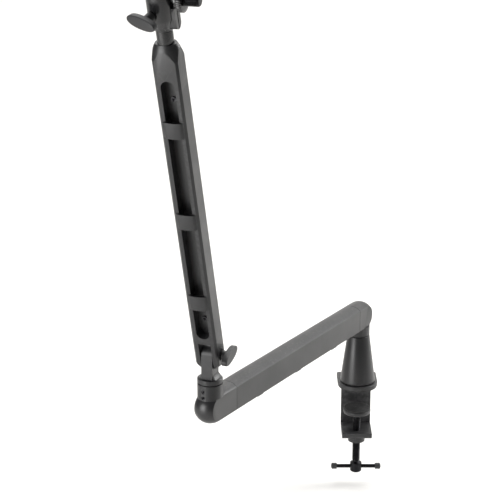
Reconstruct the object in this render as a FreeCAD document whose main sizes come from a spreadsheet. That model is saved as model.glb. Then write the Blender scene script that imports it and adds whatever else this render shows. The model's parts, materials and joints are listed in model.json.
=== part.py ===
"""Low-profile desk-clamp boom arm for a microphone.

Frame: millimetres, +Z up.  The origin is the point where the vertical swivel axis of
the lower arm meets the desk top.  +X is to the right and -Y is towards the user, off
the front of the desk clamp.  Every arm piece is drawn in the frame of the body that
carries it: forward is -Y, right is +X and up is +Z, and the frames below place it.
"""
import FreeCAD
import Part
import math
import os
import re

import Sketcher
from FreeCAD import Placement, Rotation, Vector

os.makedirs("parts", exist_ok=True)
document = FreeCAD.newDocument("boom_arm")

# ---------------------------------------------------------------------------- sizes
SIZES = {
    # poses of the arms, degrees
    "lower_yaw": 31.4,            # lower arm, from straight ahead towards the left
    "upper_yaw": 19.5,            # upper arm, from straight ahead towards the left
    "upper_lean": 17.2,           # upper arm, from upright towards the user
    # fits
    "running_gap": 0.05,          # radial, shaft in bush
    "press_gap": 0.02,            # radial, bush in its seat
    "tapped_gap": 0.05,           # radial, screw in tapped or clearance hole
    "spigot_gap": 0.1,            # each side, end piece in tube
    "face_gap": 0.15,             # axial, between a ring and the face it runs on
    # desk clamp
    "jaw_half_width": 30.5,
    "jaw_rear": 37.0,             # swivel axis to the back of the clamp
    "plate_thick": 6.0,
    "pad_thick": 2.0,
    "pad_inset": 0.5,
    "spine_thick": 8.0,
    "spine_width": 46.0,
    "mouth_height": 74.0,         # top pad to lower jaw
    "jaw_thick": 10.0,
    "jaw_front": 18.0,            # screw axis to the front of the lower jaw
    "jaw_boss_radius": 13.0,
    "jaw_boss_drop": 8.0,
    "clamp_corner": 7.0,
    "spindle_radius": 6.0,
    "spindle_thread_gap": 0.05,
    "desk_thick": 36.0,           # gap in the clamp as stored
    "presser_radius": 21.0,
    "presser_thick": 6.0,
    "presser_pad_thick": 3.0,
    "spindle_tip_radius": 4.0,
    "handle_radius": 3.0,
    "handle_length": 74.0,
    "handle_cap_radius": 5.0,
    "handle_cap_length": 9.0,
    "spindle_head_radius": 9.0,
    "spindle_head_length": 16.0,
    "spindle_length": 78.0,       # under the presser plate
    # riser
    "riser_base_radius": 26.6,
    "riser_foot_radius": 24.8,
    "riser_foot_height": 1.3,
    "riser_rim_height": 2.0,
    "riser_height": 75.7,         # plate top to the washer
    "riser_flange_inner": 15.0,
    "riser_flange_thick": 10.0,
    "riser_wall": 3.6,
    "riser_web": 13.0,
    "riser_screw_radius": 2.5,
    "riser_screw_circle": 19.8,
    "washer_thick": 1.5,
    "washer_inset": 1.6,
    "shaft_radius": 7.0,
    "shaft_flange_radius": 14.5,
    "shaft_flange_thick": 5.0,
    "shaft_bolt_radius": 4.0,
    "shaft_bolt_depth": 22.0,
    "ring_thick": 1.2,
    "ring_depth": 1.0,
    "ring_width": 3.0,
    "bush_wall": 2.0,
    # lower arm
    "lower_length": 420.0,        # swivel axis to elbow axis
    "lower_height": 115.0,        # axis of the bar above the desk
    "lower_radius": 22.0,
    "lower_width": 29.5,          # across the two flats
    "lower_wall": 3.0,
    "collar_radius": 17.0,
    "collar_top": 149.7,
    "rear_seam_past": 2.0,        # round rear end to the joint line of the rear cap
    "front_seam": 44.0,           # front axis to the joint line of the front cap
    "flat_ledge": 16.0,           # bar axis to the ledge where a round neck leaves the flats
    "seam_gap": 0.6,
    "seam_depth": 0.9,
    "lower_spigot": 26.0,
    "lower_web": 8.0,             # web between cavity and channel, below the axis
    "lower_channel_width": 13.0,
    "seat_above": 6.0,            # bush seats end this far above or below the bar axis
    "room_height": 11.0,
    "room_width": 21.0,
    "grub_radius": 2.5,
    "grub_length": 6.4,
    "grub_upper": 8.2,            # collar top to the upper grub screw
    "grub_step": 8.6,
    "lower_clip_length": 13.0,
    "clip_thick": 1.4,
    "clip_lift": 0.15,            # strap clear of the face it spans
    "clip_lip": 3.5,
    # elbow
    "post_flange_thick": 6.5,
    "tang_thick": 15.6,
    "tang_depth": 24.0,
    "pivot_height": 191.1,
    "wedge_width": 4.5,
    "wedge_height": 6.0,
    "disc_thick": 0.8,
    "disc_radius": 12.0,
    "disc_gap": 0.03,             # room between each disc and the ear beside it
    "bolt_radius": 4.0,
    "bolt_head_radius": 6.5,
    "bolt_head_depth": 4.5,
    # upper arm
    "upper_length": 456.5,        # pivot to the shoulder under the head
    "upper_width": 33.0,
    "upper_thick": 26.9,
    "upper_chamfer": 2.8,
    "upper_wall": 3.0,
    "upper_channel_width": 18.0,
    "upper_channel_depth": 14.0,
    "fork_seam": 28.4,
    "fork_slot": 24.0,
    "fork_reach": 21.5,           # radius of the round ends of the ears, about the pivot
    "cap_length": 57.0,           # shoulder down to the joint line of the end piece
    "channel_low": 32.8,
    "channel_past": 11.9,         # channel past the joint line, into the end piece
    "fork_spigot": 40.0,
    "cap_spigot": 26.0,
    "low_screw": 57.0,
    "high_screw_drop": 75.5,      # shoulder down to the screw
    "screw_radius": 1.75,
    "screw_head_radius": 3.3,
    "screw_head_height": 2.0,
    "screw_grip": 9.0,
    "clip_low": 91.5,
    "clip_middle": 215.0,
    "clip_high_drop": 111.0,      # shoulder down to the highest clip
    "clip_length": 22.0,
    "clip_width": 26.0,
    "clip_rise": 2.2,
    "clip_leg": 9.0,
    "clip_slit": 1.0,
    "dome_drop": 8.0,             # shoulder down to where the front face runs out
    "dome_slope": 0.28,
    "dome_stretch": 1.3,          # width of the dome over its depth
    "crown_drop": 5.0,            # shoulder down to where the dome turns in
    "shoulder_slope": 0.42,
    # wings
    "wing_long": 43.0,
    "wing_wide": 15.5,
    "wing_thick": 9.0,
    "wing_hub_radius": 7.0,
    "wing_hub_small": 5.2,
    "elbow_hub_length": 5.0,
    "elbow_wing_turn": 85.0,
    "thrust_washer": 1.2,
    "thrust_radius": 8.0,
    # head
    "head_yaw": 0.0,
    "stem_radius": 10.2,
    "stem_height": 17.5,
    "stem_pivot_radius": 6.0,
    "stem_pivot_length": 12.5,
    "stem_socket_radius": 6.0,
    "stem_socket_depth": 18.0,
    "stem_screw_radius": 2.0,
    "housing_low_radius": 11.0,
    "housing_radius": 16.6,
    "housing_step": 20.0,         # shoulder to the widening of the housing
    "housing_taper": 13.0,
    "housing_top": 64.2,
    "ball_height": 56.7,
    "ball_radius": 11.0,
    "ball_gap": 0.08,
    "mouth_rise": 6.2,
    "neck_radius": 4.6,
    "notch_width": 10.4,
    "ear_reach": 19.6,
    "ear_width": 15.0,
    "ear_low": 18.5,
    "ear_high": 47.0,
    "split_width": 2.0,
    "split_depth": 7.0,
    "lock_height": 39.5,
    "lock_turn": 22.0,            # lock screw, from the front towards the left
    "lock_radius": 3.0,
    "lock_inset": 4.5,
    "lock_hub_length": 11.0,
    "lock_wing_turn": 85.0,
    "seat_radius": 9.0,
    "flange_start": 20.4,
    "flange_thick": 3.6,
    "flange_radius": 11.5,
    "stud_radius": 7.94,          # five-eighths inch thread, major diameter
    "stud_length": 26.0,
    "lock_ring_radius": 15.5,
    "lock_ring_thick": 6.0,
    "lock_ring_gap": 1.0,
    "stud_relief": 1.0,           # groove between the ring's seat and the free thread
    "stud_tip": 1.2,
}

# places that follow from other sizes: the rear joint line, and heights on the upper arm
SIZES |= {
    "rear_seam": "=lower_radius + rear_seam_past",
    "cap_seam": "=upper_length - cap_length",
    "channel_high": "=upper_length - cap_length + channel_past",
    "high_screw": "=upper_length - high_screw_drop",
    "clip_high": "=upper_length - clip_high_drop",
    "dome_arch": "=upper_length - dome_drop",
    "shoulder_height": "=upper_length - crown_drop",
}

sheet = document.addObject("Spreadsheet::Sheet", "Sizes")
for row, (name, number) in enumerate(SIZES.items(), start=1):
    sheet.set(f"A{row}", str(number))
    sheet.setAlias(f"A{row}", name)
document.recompute()


def ref(text):
    """Turns bare size names in an expression into references to the sheet."""
    return re.sub(r"[a-z][a-z_0-9]*", lambda found: (
        "Sizes." + found[0] if found[0] in SIZES else found[0]), str(text))


def value(text):
    """Number that an expression of size names has now."""
    result = sheet.evalExpression(ref(text))
    return float(getattr(result, "Value", result))


# --------------------------------------------------------------------------- frames
def frame(name, expression):
    """A named coordinate frame that pieces are placed by."""
    holder = document.addObject("App::FeaturePython", name)
    holder.addProperty("App::PropertyPlacement", "Frame")
    holder.setExpression("Frame", expression)
    return holder


def shift(x="0", y="0", z="0"):
    return f"placement(vector({ref(x)}; {ref(y)}; {ref(z)}); rotation(vector(0;0;1); 0))"


def turn(axis, angle):
    direction = {"x": "1;0;0", "y": "0;1;0", "z": "0;0;1"}[axis]
    return f"placement(vector(0;0;0); rotation(vector({direction}); {ref(angle)}))"


frame("Clamp", turn("z", "0"))
frame("Presser", shift(z="0 - desk_thick"))
frame("Lower", turn("z", "0 - lower_yaw"))
frame("Collar", "Lower.Frame * " + shift(y="0 - lower_length"))
frame("Elbow", "Collar.Frame * " + turn("z", "lower_yaw - upper_yaw"))
frame("Upper", "Elbow.Frame * " + shift(z="pivot_height") + " * " + turn("x", "upper_lean"))
frame("Head", "Upper.Frame * " + shift(z="upper_length") + " * " + turn("z", "head_yaw"))
frame("Ball", "Head.Frame * " + shift(z="ball_height"))
frame("Lock", "Head.Frame * " + shift(z="lock_height") + " * " + turn("z", "0 - lock_turn"))
document.recompute()

PARTS = []


def keep(piece, label, frame_name):
    """Names a finished piece and places it by its frame."""
    if piece.TypeId in ("Part::Cylinder", "Part::Box", "Part::Cone", "Part::Sphere"):
        piece = group(piece)
    piece.Label = label
    piece.setExpression("Placement", frame_name + ".Frame")
    PARTS.append(piece)
    return piece


# ------------------------------------------------------------------ sketch helpers
def pin_points(sketch, points):
    """Draws a closed outline whose corners are bound to expressions."""
    numbers = [(value(a), value(b)) for a, b in points]
    count = len(points)
    for index in range(count):
        start = Vector(*numbers[index], 0)
        end = Vector(*numbers[(index + 1) % count], 0)
        sketch.addGeometry(Part.LineSegment(start, end), False)
    for index in range(count):
        sketch.addConstraint(
            Sketcher.Constraint("Coincident", index, 2, (index + 1) % count, 1))
    for index, (a, b) in enumerate(points):
        for kind, text, number in (("DistanceX", a, numbers[index][0]),
                                   ("DistanceY", b, numbers[index][1])):
            place = sketch.addConstraint(
                Sketcher.Constraint(kind, -1, 1, index, 1, number))
            sketch.setExpression(f"Constraints[{place}]", ref(text))


def pin_circle(sketch, x, y, radius):
    """Draws a circle bound to expressions."""
    centre = Vector(value(x), value(y), 0)
    edge = sketch.addGeometry(Part.Circle(centre, Vector(0, 0, 1), value(radius)), False)
    for kind, text, number in (("DistanceX", x, centre.x), ("DistanceY", y, centre.y)):
        place = sketch.addConstraint(Sketcher.Constraint(kind, -1, 1, edge, 3, number))
        sketch.setExpression(f"Constraints[{place}]", ref(text))
    place = sketch.addConstraint(Sketcher.Constraint("Radius", edge, value(radius)))
    sketch.setExpression(f"Constraints[{place}]", ref(radius))


class Builder:
    """A PartDesign body and the features stacked in it."""

    def __init__(self, label, frame_name):
        self.body = document.addObject("PartDesign::Body", label)
        self.last = None
        self.label = label
        self.frame_name = frame_name

    def sketch(self, plane, points=None, circles=(), lift="0"):
        """A sketch on one of the body's own planes, lifted along its normal."""
        sketch = self.body.newObject("Sketcher::SketchObject", self.label + "_sketch")
        base = [item for item in self.body.Origin.OriginFeatures if item.Role == plane][0]
        sketch.AttachmentSupport = (base, "")
        sketch.MapMode = "FlatFace"
        sketch.setExpression("AttachmentOffset.Base.z", ref(lift))
        if points:
            pin_points(sketch, points)
        for x, y, radius in circles:
            pin_circle(sketch, x, y, radius)
        return sketch

    def _feature(self, kind, sketch):
        feature = self.body.newObject(kind, self.label + "_" + kind.split("::")[1].lower())
        feature.Profile = sketch
        self.last = feature
        return feature

    def pad(self, sketch, length, middle=False, back=False):
        feature = self._feature("PartDesign::Pad", sketch)
        feature.setExpression("Length", ref(length))
        feature.Midplane = middle
        feature.Reversed = back
        return feature

    def pocket(self, sketch, length=None, middle=False, back=False):
        """Cuts the sketch; without a length it cuts right through both ways."""
        document.recompute()
        before = self.body.Shape.Volume
        feature = self._feature("PartDesign::Pocket", sketch)
        if length is None:
            feature.Type = 1
            feature.Midplane = True
        else:
            feature.setExpression("Length", ref(length))
            feature.Midplane = middle
            feature.Reversed = back
        document.recompute()
        if not self.body.Shape.Volume < before - 1e-3:
            raise RuntimeError(f"a pocket of {self.label} cut nothing")
        return feature

    def revolve(self, sketch):
        feature = self._feature("PartDesign::Revolution", sketch)
        feature.ReferenceAxis = (sketch, ["V_Axis"])
        feature.Angle = 360
        return feature

    def groove(self, sketch):
        document.recompute()
        before = self.body.Shape.Volume
        feature = self._feature("PartDesign::Groove", sketch)
        feature.ReferenceAxis = (sketch, ["V_Axis"])
        feature.Angle = 360
        document.recompute()
        if not self.body.Shape.Volume < before - 1e-3:
            raise RuntimeError(f"a groove of {self.label} cut nothing")
        return feature

    def dress(self, kind, size, test):
        """Fillets or chamfers the edges whose middle point passes the test."""
        document.recompute()
        shape = self.last.Shape
        names = []
        for index, edge in enumerate(shape.Edges, start=1):
            low, high = edge.ParameterRange
            middle = edge.valueAt((low + high) / 2)
            if test(middle, edge):
                names.append(f"Edge{index}")
        if not names:
            raise RuntimeError(f"no edge to dress on {self.label}")
        feature = self.body.newObject("PartDesign::" + kind, self.label + "_" + kind.lower())
        feature.Base = (self.last, names)
        feature.setExpression("Radius" if kind == "Fillet" else "Size", ref(size))
        self.last = feature
        return feature

    def keep(self):
        self.body.Tip = self.last
        return keep(self.body, self.label, self.frame_name)


def near(number, target, slack=0.01):
    return abs(number - target) < slack


# --------------------------------------------------------------- primitive helpers
def solid(kind, at=("0", "0", "0"), axis=None, **sizes):
    """A Part primitive whose sizes and place are bound to expressions."""
    item = document.addObject("Part::" + kind, kind.lower())
    for name, text in sizes.items():
        item.setExpression(name, ref(text))
    rotations = {
        None: Rotation(),
        "x": Rotation(Vector(0, 1, 0), 90),
        "y": Rotation(Vector(1, 0, 0), -90),
        "-y": Rotation(Vector(1, 0, 0), 90),
        "-x": Rotation(Vector(0, 1, 0), -90),
        "-z": Rotation(Vector(1, 0, 0), 180),
    }
    item.Placement = Placement(Vector(0, 0, 0), rotations[axis])
    for letter, text in zip("xyz", at):
        item.setExpression("Placement.Base." + letter, ref(text))
    return item


def box(low, high):
    """A box between two corners."""
    spans = [f"( {b} ) - ( {a} )" for a, b in zip(low, high)]
    return solid("Box", at=low, Length=spans[0], Width=spans[1], Height=spans[2])


def rod(at, axis, radius, length):
    return solid("Cylinder", at=at, axis=axis, Radius=radius, Height=length)


def fuse(*items):
    item = document.addObject("Part::MultiFuse", "fuse")
    item.Shapes = list(items)
    item.Refine = True
    return item


def cut(base, *tools):
    item = document.addObject("Part::Cut", "cut")
    item.Base = base
    item.Tool = tools[0] if len(tools) == 1 else fuse(*tools)
    item.Refine = True
    return item


def common(*items):
    item = document.addObject("Part::MultiCommon", "common")
    item.Shapes = list(items)
    item.Refine = True
    return item


def group(*items):
    item = document.addObject("Part::Compound", "group")
    item.Links = list(items)
    return item


def prism(points, low, high, plane="xy"):
    """An outline drawn in one plane and extruded between two heights."""
    sketch = document.addObject("Sketcher::SketchObject", "outline")
    pin_points(sketch, points)
    rotations = {
        "xy": (Rotation(), Vector(0, 0, 1), "z"),
        "xz": (Rotation(Vector(1, 0, 0), 90), Vector(0, 1, 0), "y"),
        "yz": (Rotation(Vector(1, 1, 1), 120), Vector(1, 0, 0), "x"),
    }
    rotation, direction, letter = rotations[plane]
    sketch.Placement = Placement(Vector(0, 0, 0), rotation)
    sketch.setExpression("Placement.Base." + letter, ref(low))
    item = document.addObject("Part::Extrusion", "extrusion")
    item.Base = sketch
    item.DirMode = "Custom"
    item.Dir = direction
    item.Solid = True
    item.setExpression("LengthFwd", ref(f"( {high} ) - ( {low} )"))
    return item


# ------------------------------------------------------------------- shared values
PLATE_LOW = "pad_thick"
PLATE_TOP = "( pad_thick + plate_thick )"
RISER_TOP = "( pad_thick + plate_thick + riser_height )"
NECK_LOW = "( pad_thick + plate_thick + riser_height + washer_thick )"
POST_LOW = "( collar_top + washer_thick )"
POST_TOP = "( collar_top + washer_thick + post_flange_thick )"
BUSH_SEAT = "( shaft_radius + bush_wall )"
REAR_SEAT = "( lower_height + seat_above )"
FRONT_SEAT = "( lower_height - seat_above )"
FLOOR = "( upper_channel_depth - upper_thick / 2 )"


# ---------------------------------------------------------------------- desk clamp
def clamp_frame():
    """C-shaped clamp casting with a round-fronted top plate and a tapped lower jaw."""
    make = Builder("clamp_frame", "Clamp")
    low = "0 - mouth_height - jaw_thick"
    inner = "jaw_rear - spine_thick"
    outline = [("jaw_rear", PLATE_TOP), ("jaw_rear", low), ("0 - jaw_front", low),
               ("0 - jaw_front", "0 - mouth_height"), (inner, "0 - mouth_height"),
               (inner, PLATE_LOW), ("0", PLATE_LOW), ("0", PLATE_TOP)]
    make.pad(make.sketch("YZ_Plane", outline), "spine_width", middle=True)
    half = "jaw_half_width"
    plate = [("0 - " + half, "0"), (half, "0"), (half, "jaw_rear"), ("0 - " + half, "jaw_rear")]
    make.pad(make.sketch("XY_Plane", plate, lift=PLATE_LOW), "plate_thick")
    make.pad(make.sketch("XY_Plane", circles=[("0", "0", half)], lift=PLATE_LOW), "plate_thick")
    boss = make.sketch("XY_Plane", circles=[("0", "0", "jaw_boss_radius")],
                       lift=low + " - jaw_boss_drop")
    make.pad(boss, "jaw_boss_drop + jaw_thick / 2")
    hole = make.sketch("XY_Plane", circles=[("0", "0", "spindle_radius + spindle_thread_gap")],
                       lift="0 - mouth_height")
    make.pocket(hole, "jaw_thick + jaw_boss_drop")
    circles = [("0", "0", "shaft_bolt_radius + tapped_gap")]
    for number in range(3):
        angle = 90 + 120 * number
        circles.append((f"riser_screw_circle * cos({angle})",
                        f"riser_screw_circle * sin({angle})",
                        "riser_screw_radius + tapped_gap"))
    make.pocket(make.sketch("XY_Plane", circles=circles, lift=PLATE_TOP), "plate_thick")
    sinks = [(x, y, "( " + radius + " ) * 1.9") for x, y, radius in circles[1:]]
    sinks.append(("0", "0", "shaft_bolt_radius * 1.75"))
    make.pocket(make.sketch("XY_Plane", circles=sinks, lift=PLATE_LOW), "plate_thick / 2",
                back=True)
    rear = value("jaw_rear")
    base = value(low)
    front = -value("jaw_front")
    make.dress("Fillet", "clamp_corner", lambda p, e: near(p.z, base) and (
        near(p.y, rear) or near(p.y, front)) and near(p.x, 0))
    make.dress("Fillet", "clamp_corner / 2", lambda p, e: near(p.y, rear) and near(
        abs(p.x), value(half)) and p.z > 0)
    top = value(PLATE_TOP)
    make.dress("Fillet", "pad_thick / 2", lambda p, e: near(p.z, top) and math.hypot(
        p.x, p.y) > value("riser_base_radius"))
    return make.keep()


def top_jaw_pad():
    """Soft pad glued under the top plate, the same outline a little smaller."""
    make = Builder("top_jaw_pad", "Clamp")
    half = "jaw_half_width - pad_inset"
    rear = "jaw_rear - spine_thick - pad_inset"
    plate = [("0 - ( " + half + " )", "0"), (half, "0"), (half, rear),
             ("0 - ( " + half + " )", rear)]
    make.pad(make.sketch("XY_Plane", plate), "pad_thick")
    make.pad(make.sketch("XY_Plane", circles=[("0", "0", half)]), "pad_thick")
    back = [("0 - jaw_half_width", rear), ("jaw_half_width", rear),
            ("jaw_half_width", "jaw_rear"), ("0 - jaw_half_width", "jaw_rear")]
    make.pocket(make.sketch("XY_Plane", back), "pad_thick", back=True)
    return make.keep()


def riser_cone():
    """Hollow tapered riser with a shadow gap under its rim."""
    make = Builder("riser_cone", "Clamp")
    lean = "( riser_base_radius - collar_radius ) / ( riser_height - riser_foot_height - riser_rim_height )"
    web_low = f"{RISER_TOP} - riser_web"
    web_inner = f"collar_radius + riser_web * {lean} - riser_wall"
    points = [("riser_flange_inner", PLATE_TOP), ("riser_foot_radius", PLATE_TOP),
              ("riser_foot_radius", f"{PLATE_TOP} + riser_foot_height"),
              ("riser_base_radius", f"{PLATE_TOP} + riser_foot_height"),
              ("riser_base_radius", f"{PLATE_TOP} + riser_foot_height + riser_rim_height"),
              ("collar_radius", RISER_TOP),
              ("shaft_radius + running_gap", RISER_TOP),
              ("shaft_radius + running_gap", web_low),
              (web_inner, web_low),
              ("riser_base_radius - riser_wall - 1", f"{PLATE_TOP} + riser_flange_thick"),
              ("riser_flange_inner", f"{PLATE_TOP} + riser_flange_thick")]
    make.revolve(make.sketch("XZ_Plane", points))
    circles = []
    for number in range(3):
        angle = 90 + 120 * number
        circles.append((f"riser_screw_circle * cos({angle})",
                        f"riser_screw_circle * sin({angle})",
                        "riser_screw_radius + tapped_gap"))
    make.pocket(make.sketch("XY_Plane", circles=circles, lift=PLATE_TOP),
                "riser_flange_thick", back=True)
    return make.keep()


def riser_screws():
    """Three countersunk screws up through the plate into the riser."""
    screws = []
    for number in range(3):
        angle = 90 + 120 * number
        x = f"riser_screw_circle * cos({angle})"
        y = f"riser_screw_circle * sin({angle})"
        low = f"{PLATE_LOW} + 0.2"
        shank = rod((x, y, low), None, "riser_screw_radius",
                    "plate_thick + riser_flange_thick - 1.2")
        head = rod((x, y, low), None, "riser_screw_radius * 1.7", "plate_thick / 2 - 0.2")
        socket = rod((x, y, low), None, "riser_screw_radius * 0.6", "1.6")
        screws.append(cut(fuse(shank, head), socket))
    return keep(group(*screws), "riser_screws", "Clamp")


def swivel_shaft():
    """Steel shaft that the lower arm turns on, with a foot flange and a ring groove."""
    make = Builder("swivel_shaft", "Clamp")
    groove = f"{REAR_SEAT} + face_gap"
    top = f"{groove} + ring_thick + 3"
    inner = "shaft_radius - ring_depth"
    bolt = "shaft_bolt_radius + tapped_gap"
    points = [(bolt, PLATE_TOP), ("shaft_flange_radius", PLATE_TOP),
              ("shaft_flange_radius", f"{PLATE_TOP} + shaft_flange_thick"),
              ("shaft_radius", f"{PLATE_TOP} + shaft_flange_thick"),
              ("shaft_radius", groove), (inner, groove), (inner, f"{groove} + ring_thick"),
              ("shaft_radius", f"{groove} + ring_thick"), ("shaft_radius", f"{top} - 1"),
              ("shaft_radius - 1", top), ("0", top),
              ("0", f"{PLATE_TOP} + shaft_bolt_depth"), (bolt, f"{PLATE_TOP} + shaft_bolt_depth")]
    make.revolve(make.sketch("XZ_Plane", points))
    return make.keep()


def shaft_bolt():
    """Socket bolt that pulls the shaft down on the plate."""
    low = f"{PLATE_LOW} + 0.2"
    shank = rod(("0", "0", low), None, "shaft_bolt_radius", "plate_thick + shaft_bolt_depth - 2")
    head = rod(("0", "0", low), None, "shaft_bolt_radius * 1.65", "plate_thick / 2 - 0.2")
    socket = rod(("0", "0", low), None, "shaft_bolt_radius * 0.6", "2")
    return keep(cut(fuse(shank, head), socket), "shaft_bolt", "Clamp")


def washer(label, frame_name, low):
    """Dark low-friction washer that shows as a shadow gap under a neck."""
    disc = rod(("0", "0", low), None, "collar_radius - washer_inset", "washer_thick")
    hole = rod(("0", "0", low), None, "shaft_radius + running_gap", "washer_thick")
    return keep(cut(disc, hole), label, frame_name)


def retaining_ring(label, frame_name, low, shaft, width):
    """Open spring ring in a shaft groove."""
    inner = f"( {shaft} ) - ring_depth"
    disc = rod(("0", "0", low), None, f"{inner} + {width}", "ring_thick")
    hole = rod(("0", "0", low), None, f"{inner} + press_gap", "ring_thick")
    gap = box((f"0 - ( {inner} ) * 0.6", "0", low), (f"( {inner} ) * 0.6", f"{inner} + {width} + 1",
              f"{low} + ring_thick"))
    return keep(cut(disc, hole, gap), label, frame_name)


def presser():
    """Plate, pad and ring that hang on the tip of the clamp spindle."""
    pad_low = "0 - presser_pad_thick"
    pad = rod(("0", "0", pad_low), None, "presser_radius - 1", "presser_pad_thick")
    keep(pad, "lower_jaw_pad", "Presser")
    low = "0 - presser_pad_thick - presser_thick"
    make = Builder("pressure_plate", "Presser")
    socket = "spindle_tip_radius + running_gap"
    points = [(socket, f"{low} - 5"), ("9.5", f"{low} - 5"), ("9.5", low),
              ("presser_radius - 1.5", low),
              ("presser_radius", f"{low} + 1.5"), ("presser_radius", pad_low), ("0", pad_low),
              ("0", f"{low} + 3"), (socket, f"{low} + 3")]
    make.revolve(make.sketch("XZ_Plane", points))
    make.keep()


def clamp_spindle():
    """Clamp screw with a plain tip, a shoulder under the plate and a drilled head."""
    make = Builder("clamp_spindle", "Presser")
    tip_top = "0 - presser_pad_thick - presser_thick + 3 - face_gap"
    shoulder = "0 - presser_pad_thick - presser_thick - 5 - face_gap"
    thread_end = f"{shoulder} - spindle_length"
    head_end = f"{thread_end} - spindle_head_length"
    points = [("0", tip_top), ("spindle_tip_radius - 0.5", tip_top),
              ("spindle_tip_radius", f"{tip_top} - 0.5"), ("spindle_tip_radius", shoulder),
              ("spindle_radius", shoulder), ("spindle_radius", thread_end),
              ("spindle_head_radius", f"{thread_end} - 1.5"),
              ("spindle_head_radius", f"{head_end} + 1.5"),
              ("spindle_head_radius - 1.5", head_end), ("0", head_end)]
    make.revolve(make.sketch("XZ_Plane", points))
    middle = f"{thread_end} - spindle_head_length / 2"
    make.pocket(make.sketch("YZ_Plane", circles=[("0", middle, "handle_radius + tapped_gap")]))
    make.keep()
    half = "handle_length / 2"
    bar = rod((f"0 - {half}", "0", middle), "x", "handle_radius", "handle_length")
    keep(bar, "clamp_handle", "Presser")
    caps = []
    for side in ("-", ""):
        start = f"0 - {half} - 2" if side else f"{half} - handle_cap_length + 2"
        outer = rod((start, "0", middle), "x", "handle_cap_radius", "handle_cap_length")
        seat = f"0 - {half}" if side else start
        bore = rod((seat, "0", middle), "x", "handle_radius + press_gap", "handle_cap_length - 2")
        caps.append(cut(outer, bore))
    keep(group(*caps), "handle_caps", "Presser")


# ----------------------------------------------------------------------- lower arm
def bar(low, high, radius="lower_radius", width="lower_width"):
    """Round bar with two upright flats, between two distances along the arm."""
    core = rod(("0", f"0 - ( {high} )", "lower_height"), "y", radius, f"( {high} ) - ( {low} )")
    slab = box((f"0 - ( {width} ) / 2", f"0 - ( {high} )", "lower_height - 2 * lower_radius"),
               (f"( {width} ) / 2", f"0 - ( {low} )", "lower_height + 2 * lower_radius"))
    return common(core, slab)


def inner_bar(low, high, gap):
    """Room inside the bar above the web; gap makes the spigot that fits it."""
    radius = f"lower_radius - lower_wall - {gap}"
    width = f"lower_width - 2 * lower_wall - 2 * {gap}"
    room = bar(low, high, radius, width)
    floor = box(("0 - lower_radius", f"0 - ( {high} ) - 1", "lower_height - 2 * lower_radius"),
                ("lower_radius", f"0 - ( {low} ) + 1",
                 f"lower_height - lower_web + lower_wall + {gap}"))
    return cut(room, floor)


def channel_tool(low, high):
    """Open cable channel in the underside."""
    half = "lower_channel_width / 2"
    return box((f"0 - {half}", f"0 - ( {high} )", "lower_height - lower_radius - 1"),
               (half, f"0 - ( {low} )", "lower_height - lower_web"))


def lower_screw_tools(radius, start, length):
    """Four upright rods for the screws of the two end caps."""
    first = "rear_seam + lower_spigot * 0.3"
    second = "rear_seam + lower_spigot * 0.75"
    third = "lower_length - front_seam - lower_spigot * 0.3"
    fourth = "lower_length - front_seam - lower_spigot * 0.75"
    return [rod(("0", f"0 - ( {place} )", start), None, radius, length)
            for place in (first, second, third, fourth)]


def lower_arm_tube():
    """Aluminium extrusion with a closed room above and a cable channel below."""
    low = "rear_seam"
    high = "lower_length - front_seam"
    tube = cut(bar(low, high), inner_bar(f"{low} - 1", f"{high} + 1", "0"),
               channel_tool(f"{low} - 1", f"{high} + 1"),
               *lower_screw_tools("screw_radius + tapped_gap", "lower_height - lower_web - 1",
                                  "lower_wall + 2"))
    return keep(tube, "lower_arm_tube", "Lower")


def ball_end(place):
    """Rounded end of the bar about an upright axis."""
    ball = solid("Sphere", at=("0", f"0 - ( {place} )", "lower_height"), Radius="lower_radius")
    slab = box(("0 - lower_width / 2", f"0 - ( {place} ) - lower_radius - 1",
                "lower_height - lower_radius - 1"),
               ("lower_width / 2", f"0 - ( {place} ) + lower_radius + 1",
                "lower_height + lower_radius + 1"))
    return common(ball, slab)


def seam_groove(low, high):
    """Shallow groove round the bar that shows as its joint line."""
    return cut(bar(low, high, "lower_radius + 1", "lower_width + 2"),
               bar(f"{low} - 1", f"{high} + 1", "lower_radius - seam_depth",
                   "lower_width - 2 * seam_depth"))


def flat_trims(place, low, high):
    """Two blocks that carry the flats on through a round neck, between two heights."""
    near_side = f"0 - ( {place} ) + collar_radius + 1"
    far_side = f"0 - ( {place} ) - collar_radius - 1"
    right = box(("lower_width / 2", far_side, low), ("collar_radius + 1", near_side, high))
    left = box(("0 - collar_radius - 1", far_side, low), ("0 - lower_width / 2", near_side, high))
    return right, left


def rear_end_cap():
    """Rounded rear end with the neck that stands on the riser."""
    neck = rod(("0", "0", NECK_LOW), None, "collar_radius", f"lower_height - {NECK_LOW}")
    dome = solid("Sphere", at=("0", "0", "lower_height"), Radius="collar_radius")
    body = fuse(ball_end("0"), bar("0", "rear_seam"), neck, dome,
                inner_bar("rear_seam - 1", "rear_seam + lower_spigot", "spigot_gap"))
    bore = rod(("0", "0", f"{NECK_LOW} - 1"), None, BUSH_SEAT, f"{REAR_SEAT} - {NECK_LOW} + 1")
    half = "room_width / 2"
    room = box((f"0 - {half}", "0 - rear_seam - lower_spigot - 1", REAR_SEAT),
               (half, half, f"{REAR_SEAT} + room_height"))
    slot = channel_tool("collar_radius + 2", "rear_seam + 1")
    holes = lower_screw_tools("screw_radius + tapped_gap", "lower_height - lower_web",
                              "lower_web + seat_above")[:2]
    trims = flat_trims("0", "lower_height - flat_ledge", "lower_height + lower_radius")
    groove = seam_groove("rear_seam - seam_gap", "rear_seam + 0.5")
    return keep(cut(body, *trims, bore, room, slot, *holes, groove), "rear_end_cap", "Lower")


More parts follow.
